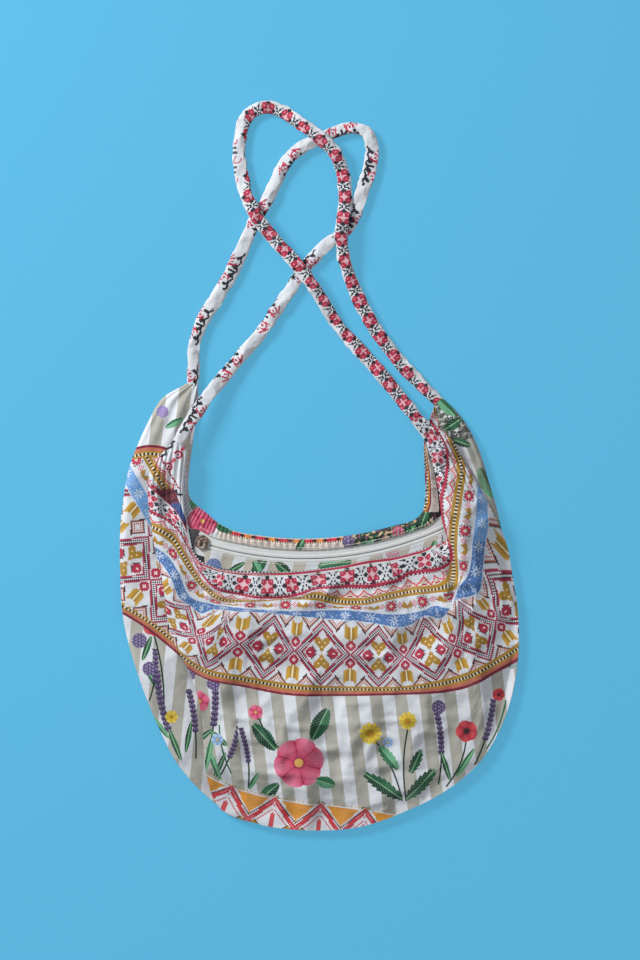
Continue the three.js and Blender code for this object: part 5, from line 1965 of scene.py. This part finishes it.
RIGHT_LOOP = StrapLoop("right_strap", "strap_right_loop", RIGHT_BACK, RIGHT_FRONT, (
    (426, 390.4, LOW), (406, 369, LOW), (388, 347, LOW), (371.5, 323, LOW), (359, 301, LOW),
    (350, 279, LOW), (344, 260, LOW + 4.6), (340.6, 238, HIGH), (343, 218, HIGH - 1.4),
    (345, 196, LOW + 2.4), (342.5, 173, LOW + 3.2), (334, 153, HIGH - 0.8), (318, 137.6, HIGH),
    (300, 124, LOW + 4.6), (284, 113, LOW), (265, 107.6, LOW), (248.6, 115, LOW), (241, 132, LOW),
    (239.4, 154, LOW), (242, 177, LOW + 1), (247.4, 198, LOW + 5.4), (256.6, 217.6, HIGH),
    (270, 235, HIGH - 1.6), (287, 254, HIGH - 1.6), (303.6, 273.6, HIGH), (319, 296, LOW + 4.6),
    (336, 322.6, LOW), (356, 346.6, LOW), (378, 371, LOW), (397, 393.6, LOW + 2.4),
), seed=83)


METAL_NODES = ("zip_slider", "zip_pull_tab", "zip_bottom_stop", "zip_top_stop_front", "zip_top_stop_back")


@dataclass(frozen=True)
class Seam:
    """A row of stitches that lies on the cloth."""

    name: str
    body: str = "bag"
    pitch: float = 3.3
    length: float = 2.4
    thread: float = 0.3
    step: float = 0.3
    arch: float = 0.4
    sink: float = 0.15

    def build(self, net: Array, column: int, thickness: float, material: bpy.types.Material) -> None:
        """Makes the stitches.

        Args:
            net: the points of the cloth's middle.
            column: which of its columns the row follows.
            thickness: the cloth's thickness.
            material: the thread.
        """
        line = even_steps((net + net_normals(net) * (thickness / 2 + 0.05))[:, column], self.step)
        reach = round(self.length / self.step)
        rises = np.sin(np.linspace(0.0, math.pi, reach + 1)) * self.arch - self.sink
        points, faces, count = [], [], 0
        for start in range(0, len(line) - reach - 1, round(self.pitch / self.step)):
            path = line[start:start + reach + 1].copy()
            path[:, 2] += rises
            some, around = thread_tube(path, self.thread)
            points.append(some)
            faces.append(around + count)
            count += len(some)
        made = build_mesh(self.name, MeshData(np.concatenate(points), np.concatenate(faces)), [material])
        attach(made, self.body)
        log.info("%s: %d stitches", self.name, len(points))


@dataclass
class Zip:
    """The zip with its tapes, teeth, facings and patch, which follows one arc."""

    body: str = "bag"
    lowest: tuple[float, float] = (304, 558.4)
    radius: float = 335.4
    left_run: float = 108.9
    right_run: float = 180.3
    slot_half: float = 0.45
    tape_width: float = 12.0
    front_near: float = 4.3
    front_far: float = 17.0
    rim_near: float = 9.0
    rim_far: float = 19.5
    tape_net: tuple[int, int] = (221, 25)
    facing_net: tuple[int, int] = (241, 15)
    facing_thick: float = 0.8
    rim_net: tuple[int, int] = (601, 19)
    rim_thick: float = 0.7
    rim_step: float = 0.75
    rim_pitch: float = 5.4
    patch_net: tuple[int, int] = (49, 49)
    patch_crumples: tuple = ((0.45, 5.5, 103), (0.2, 2.6, 107))
    coil_turns: int = 150
    coil_steps: int = 10
    coil_far: float = 2.6
    coil_depth: float = 1.5
    coil_thread: float = 0.26
    stop_place: float = 5.0
    stop_length: float = 2.4
    bare_end: float = 15.0

    @property
    def centre(self) -> tuple[float, float]:
        """The centre of the arc, on the sheet."""
        return (self.lowest[0], self.lowest[1] - self.radius)

    def beside(self, angle: Array | float, outside: Array | float) -> Array:
        """Places a distance outside the arc, at an angle in radians from straight down."""
        reach = self.radius + outside
        x, y = self.centre
        return np.stack([x + reach * np.sin(angle), y + reach * np.cos(angle)], axis=-1)

    def across(self, x: float, outside: float) -> tuple[float, float]:
        """The place a distance outside the arc that lies at x on the sheet."""
        angle = math.asin((x - self.centre[0]) / (self.radius + outside))
        return tuple(self.beside(angle, outside))

    def tape(self, near: float, far: float, height: float) -> Array:
        """The flat net of a tape, which follows the whole arc.

        Args:
            near: the distance of its inner edge outside the arc.
            far: the distance of its outer edge.
            height: its height.

        Returns:
            The net.
        """
        rows, columns = self.tape_net
        angles = np.linspace(-self.left_run, self.right_run, rows)[:, None] / self.radius
        outside = np.linspace(near, far, columns)[None]
        places = self.beside(angles + 0 * outside, outside + 0 * angles)
        return on_sheet(np.concatenate([places, np.full((rows, columns, 1), height)], axis=-1))

    def front_facing(self) -> Array:
        """The net of the facing between the zip and the front panel."""
        places = (205, 220, 244, 268, 292, 316, 340, 364, 388, 410, 430, 441)
        extra = (3.5, 2.4, 0.8, 0, 0, 0, 0, 0, 0, 0, 0, 0)
        height = OVER_TAPE + FACING / 2
        ribs = [
            [(*self.across(x, self.front_near), height), (*self.across(x, self.front_far + more), height)]
            for x, more in zip(places, extra)
        ]
        net = loft(on_sheet(ribs), *self.facing_net)
        x, y = np.moveaxis(sheet_places(net), -1, 0)
        net[..., 2] += 0.12 * (1 + crumple(x, y * 0.4, 12, 91))
        return net

    def rim_facing(self) -> Array:
        """The net of the gathered facing above the zip, which runs on up inside both horns."""
        left = (
            ((191, 437), (182, 440), 7), ((189.6, 456), (178, 459), 7), ((188, 478), (175, 483), 7),
            ((187.6, 496), (175, 507), 7), ((196, 504.5), (183, 526), 9),
            (self.across(206.5, -self.rim_far - 10), self.across(199, -self.rim_near - 2.4), OVER_TAPE),
            (self.across(218, -self.rim_far - 4), self.across(213, -self.rim_near), OVER_TAPE),
        )
        middle = tuple(
            (self.across(x, -self.rim_far), self.across(x, -self.rim_near), OVER_TAPE)
            for x in (236, 262, 288, 314, 340, 366, 392)
        )
        right = (
            (self.across(413, -self.rim_far + 1), self.across(415, -self.rim_near), OVER_TAPE),
            (self.across(421, -self.rim_far - 2.4), self.across(428, -self.rim_near), OVER_TAPE),
            (self.across(425, -self.rim_far - 11), self.across(437.6, -self.rim_near - 6), OVER_TAPE),
            ((426.6, 488), (437.6, 498), 8), ((426.4, 471), (434.6, 477), 7),
            ((425, 455), (430.6, 459), 7), ((423.6, 444), (427, 446), 7),
        )
        rim_top = RIM_RISE + CLOTH + GAP
        shares = ((0, 0), (0.28, 0.62), (0.5, 1), (1, 1))
        ribs = [
            [(*(np.array(rim) * (1 - s) + np.array(near) * s), rim_top * (1 - c) + rise * c + FACING / 2)
             for s, c in shares]
            for rim, near, rise in left + middle + right
        ]
        rows, columns = self.rim_net
        net = loft(on_sheet(ribs), rows, columns)
        run = np.arange(rows)[:, None] * self.rim_step
        across = np.linspace(0, 1, columns)[None]
        waves = np.sin(2 * np.pi * run / self.rim_pitch + 2.2 * soft_noise(run, run * 0, 17, 97))
        flat = np.clip((1 - across) / 0.3, 0.25, 1)
        net[..., 2] += 0.35 + (0.7 + 0.7 * waves + 0.5 * soft_noise(run, across * 12, 6, 99)) * flat
        return net

    def patch(self) -> Array:
        """The net of the bunched patch over the zip's left end."""
        half = FACING / 2
        over_stop = OVER_TAPE + 0.8 + GAP + half
        over_facing = OVER_TAPE + FACING + GAP + half
        near = self.front_near + 2 - 14
        ribs = []
        for share in (0, 0.2, 0.5, 0.8, 1):
            angle = (-self.left_run - 1 + 13 * share) / self.radius
            bulge = 1.2 * math.sin(math.pi * share)
            pull = 2.6 * (1 - math.sin(math.pi * share))
            heights = (OVER_TAPE + half, over_stop + bulge, over_facing + bulge, over_facing)
            ribs.append([
                (*self.beside(angle, near + pull + (14 - 2 * pull) * k / 3), height)
                for k, height in enumerate(heights)
            ])
        net = loft(on_sheet(ribs), *self.patch_net)
        x, y = np.moveaxis(sheet_places(net), -1, 0)
        net[..., 2] += 0.35 + crumples(x, y, self.patch_crumples)
        return net

    def coil(self, sign: int) -> tuple[Array, Array]:
        """One row of teeth, which is a coil of thick thread under the tape.

        Args:
            sign: 1 for the front row and -1 for the back row.

        Returns:
            The points and the faces.
        """
        phase = np.arange(self.coil_turns * self.coil_steps) / self.coil_steps
        start = -self.left_run + self.stop_place + self.stop_length + GAP
        run = self.right_run - self.bare_end - start
        low, high = ZIP_RISE - GAP - self.coil_depth, ZIP_RISE - GAP
        thread = self.coil_thread
        angles = (start + run * phase / self.coil_turns) / self.radius
        swing = np.cos(2 * np.pi * phase)
        near, far = self.slot_half + 0.2 + thread, self.coil_far - thread
        outside = sign * ((near + far) / 2 - swing * (far - near) / 2)
        height = (low + high) / 2 + np.sin(2 * np.pi * phase) * ((high - low) / 2 - thread)
        path = on_sheet(np.concatenate([self.beside(angles, outside), height[:, None]], axis=-1))
        return thread_tube(path, thread)

    def add(self, name: str, node: str, slot: str, data: MeshData,
            material: bpy.types.Material) -> bpy.types.Object:
        """Makes one piece of the zip in place of a CAD solid."""
        made = build_mesh(name, data, [material])
        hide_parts(node)
        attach(made, self.body)
        log.info("%s: %d faces", name, len(data.faces))
        return made

    def add_cloth(self, name: str, node: str, slot: str, net: Array, thickness: float,
                  material: bpy.types.Material) -> bpy.types.Object:
        """Makes one piece of cloth of the zip in place of a CAD solid."""
        points, faces = cloth_layers(net, thickness)
        rows, columns = net.shape[:2]
        middle = columns // 2
        along, wide = lengths_along(net[:, middle]), lengths_along(net[rows // 2])
        grid = np.stack(np.meshgrid(along, wide, indexing="ij"), axis=-1).reshape(-1, 2)
        sheet = sheet_places(net).reshape(-1, 2)
        data = MeshData(
            points, faces, None, np.concatenate([grid, grid])[faces], np.concatenate([sheet, sheet])[faces],
        )
        return self.add(name, node, slot, data, material)

    def build(self, finishes: dict[str, bpy.types.Material]) -> None:
        """Makes every piece of the zip.

        Args:
            finishes: the materials, by piece.
        """
        middle = ZIP_RISE + TAPE_THICK / 2
        for sign, side in ((1, "front"), (-1, "back")):
            ends = sorted((sign * self.slot_half, sign * (self.slot_half + self.tape_width)))
            net = self.tape(*ends, middle)
            far = np.abs(np.linspace(*ends, self.tape_net[1]))
            net[..., 2] += 0.35 * np.exp(-((far - 2.2) / 1.1) ** 2) - 0.2 * np.exp(-((far - 4.0) / 0.5) ** 2)
            self.add_cloth(f"{side}_tape", f"zip_tape_{side}", "zip_tape", net, TAPE_THICK,
                           finishes["tape"])
            data = MeshData(*self.coil(sign))
            self.add(f"{side}_coil", f"zip_coil_{side}", "zip_coil", data, finishes["coil"])
        front, rim = self.front_facing(), self.rim_facing()
        self.add_cloth("front_facing", "front_zip_facing", "printed_cloth", front, self.facing_thick,
                       finishes["front facing"])
        self.add_cloth("rim_facing", "back_rim_facing", "rim_cloth", rim, self.rim_thick,
                       finishes["rim facing"])
        Seam("front_facing_stitches").build(front, 2, self.facing_thick, finishes["thread"])
        Seam("rim_facing_stitches").build(rim[150:470], -3, self.rim_thick, finishes["thread"])
        self.add_cloth("end_patch", "zip_end_patch", "rim_cloth", self.patch(), self.rim_thick,
                       finishes["patch"])
        for node in METAL_NODES:
            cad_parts[node].data.materials[0] = finishes["metal"]


@dataclass
class Studio:
    """The camera, the floor and the lights."""

    looks_at: tuple[float, float] = (0.0007, 0.1266)
    field_height: float = 0.96
    lens: float = 100.0
    sensor: float = 36.0
    floor_half: float = 6.0
    backdrop: Colour = rgb(98, 189, 230)
    glow: float = 0.6
    aim: tuple[float, float, float] = (0.0, 0.02, 0.0)
    sky: Colour = (0.93, 0.96, 1.0)
    sky_strength: float = 0.3

    def camera(self) -> None:
        """Sets the camera straight above the bag."""
        data = bpy.data.cameras.new("camera")
        data.lens = self.lens
        data.sensor_fit = "VERTICAL"
        data.sensor_height = self.sensor
        camera = bpy.data.objects.new("camera", data)
        distance = self.field_height * self.lens / self.sensor
        camera.location = (*self.looks_at, distance)
        bpy.context.scene.collection.objects.link(camera)
        bpy.context.scene.camera = camera

    def lamp(self, name: str, place: tuple[float, float, float], size: float, power: float) -> None:
        """Adds a soft lamp that shines at the bag."""
        data = bpy.data.lights.new(name, "AREA")
        data.shape = "DISK"
        data.size = size
        data.energy = power
        lamp = bpy.data.objects.new(name, data)
        lamp.location = place
        towards = Vector(self.aim) - lamp.location
        lamp.rotation_euler = towards.to_track_quat("-Z", "Y").to_euler()
        bpy.context.scene.collection.objects.link(lamp)

    def floor(self) -> None:
        """Adds the plain floor, which lights the bag as a pale grey one would."""
        graph = Graph("floor")
        paths = graph.node("ShaderNodeLightPath")
        seen = Field(graph, paths.outputs["Is Camera Ray"]) | Field(graph, paths.outputs["Is Glossy Ray"])
        share = 1 - self.glow
        paint = Paint(graph, rgb(196, 200, 204)).lay(seen, tuple(part * share for part in self.backdrop))
        material = graph.surface({
            "Base Color": paint, "Roughness": 0.95, "Specular IOR Level": 0.0,
            "Emission Color": Paint(graph, (0.0, 0.0, 0.0)).lay(seen, self.backdrop),
            "Emission Strength": self.glow,
        })
        half = self.floor_half
        points = np.array([(-half, -half, 0), (half, -half, 0), (half, half, 0), (-half, half, 0)]) / MM
        floor = build_mesh("floor", MeshData(points, np.array([[0, 1, 2, 3]])), [material])

    def world(self) -> None:
        """Sets an even pale sky."""
        world = bpy.data.worlds.new("studio")
        world.use_nodes = True
        background = world.node_tree.nodes["Background"]
        background.inputs[0].default_value = (*self.sky, 1.0)
        background.inputs[1].default_value = self.sky_strength
        bpy.context.scene.world = world
        bpy.context.scene.view_settings.view_transform = "Standard"

    def build(self) -> None:
        """Adds the floor and the lights."""
        self.floor()
        self.world()
        self.lamp("key", (-1.7, 1.5, 1.3), 0.7, 62.0)
        self.lamp("fill", (1.4, -1.0, 2.2), 1.8, 6.0)


def main() -> None:
    """Builds the bag and its studio, piece by piece."""
    logging.basicConfig(level=logging.INFO, format="%(message)s")
    studio = Studio()
    studio.camera()
    LEFT_LOOP.build(cloth_material("scroll strap", WHITE, scroll_strap_print, STRAP_FINISH))
    RIGHT_LOOP.build(cloth_material("rosette strap", WHITE, rosette_strap_print, STRAP_FINISH))
    studio.build()
    layout = PrintLayout()
    materials = band_materials()
    thread = NylonFinish(rgb(232, 228, 214), 0.7).material()
    FrontPanel().build(layout, materials, thread)
    BackPanel().build(layout, materials)
    Zip().build({
        "thread": thread,
        "tape": cloth_material("zip tape", rgb(236, 239, 238), tape_print, TAPE_FINISH),
        "coil": NylonFinish().material(),
        "front facing": cloth_material("front facing", WHITE, facing_print),
        "rim facing": cloth_material("rim facing", rgb(222, 210, 200), rim_print, RIM_FINISH),
        "patch": cloth_material("end patch", rgb(120, 106, 96), patch_print),
        "metal": MetalFinish().material(),
    })


if __name__ == "__main__":
    main()
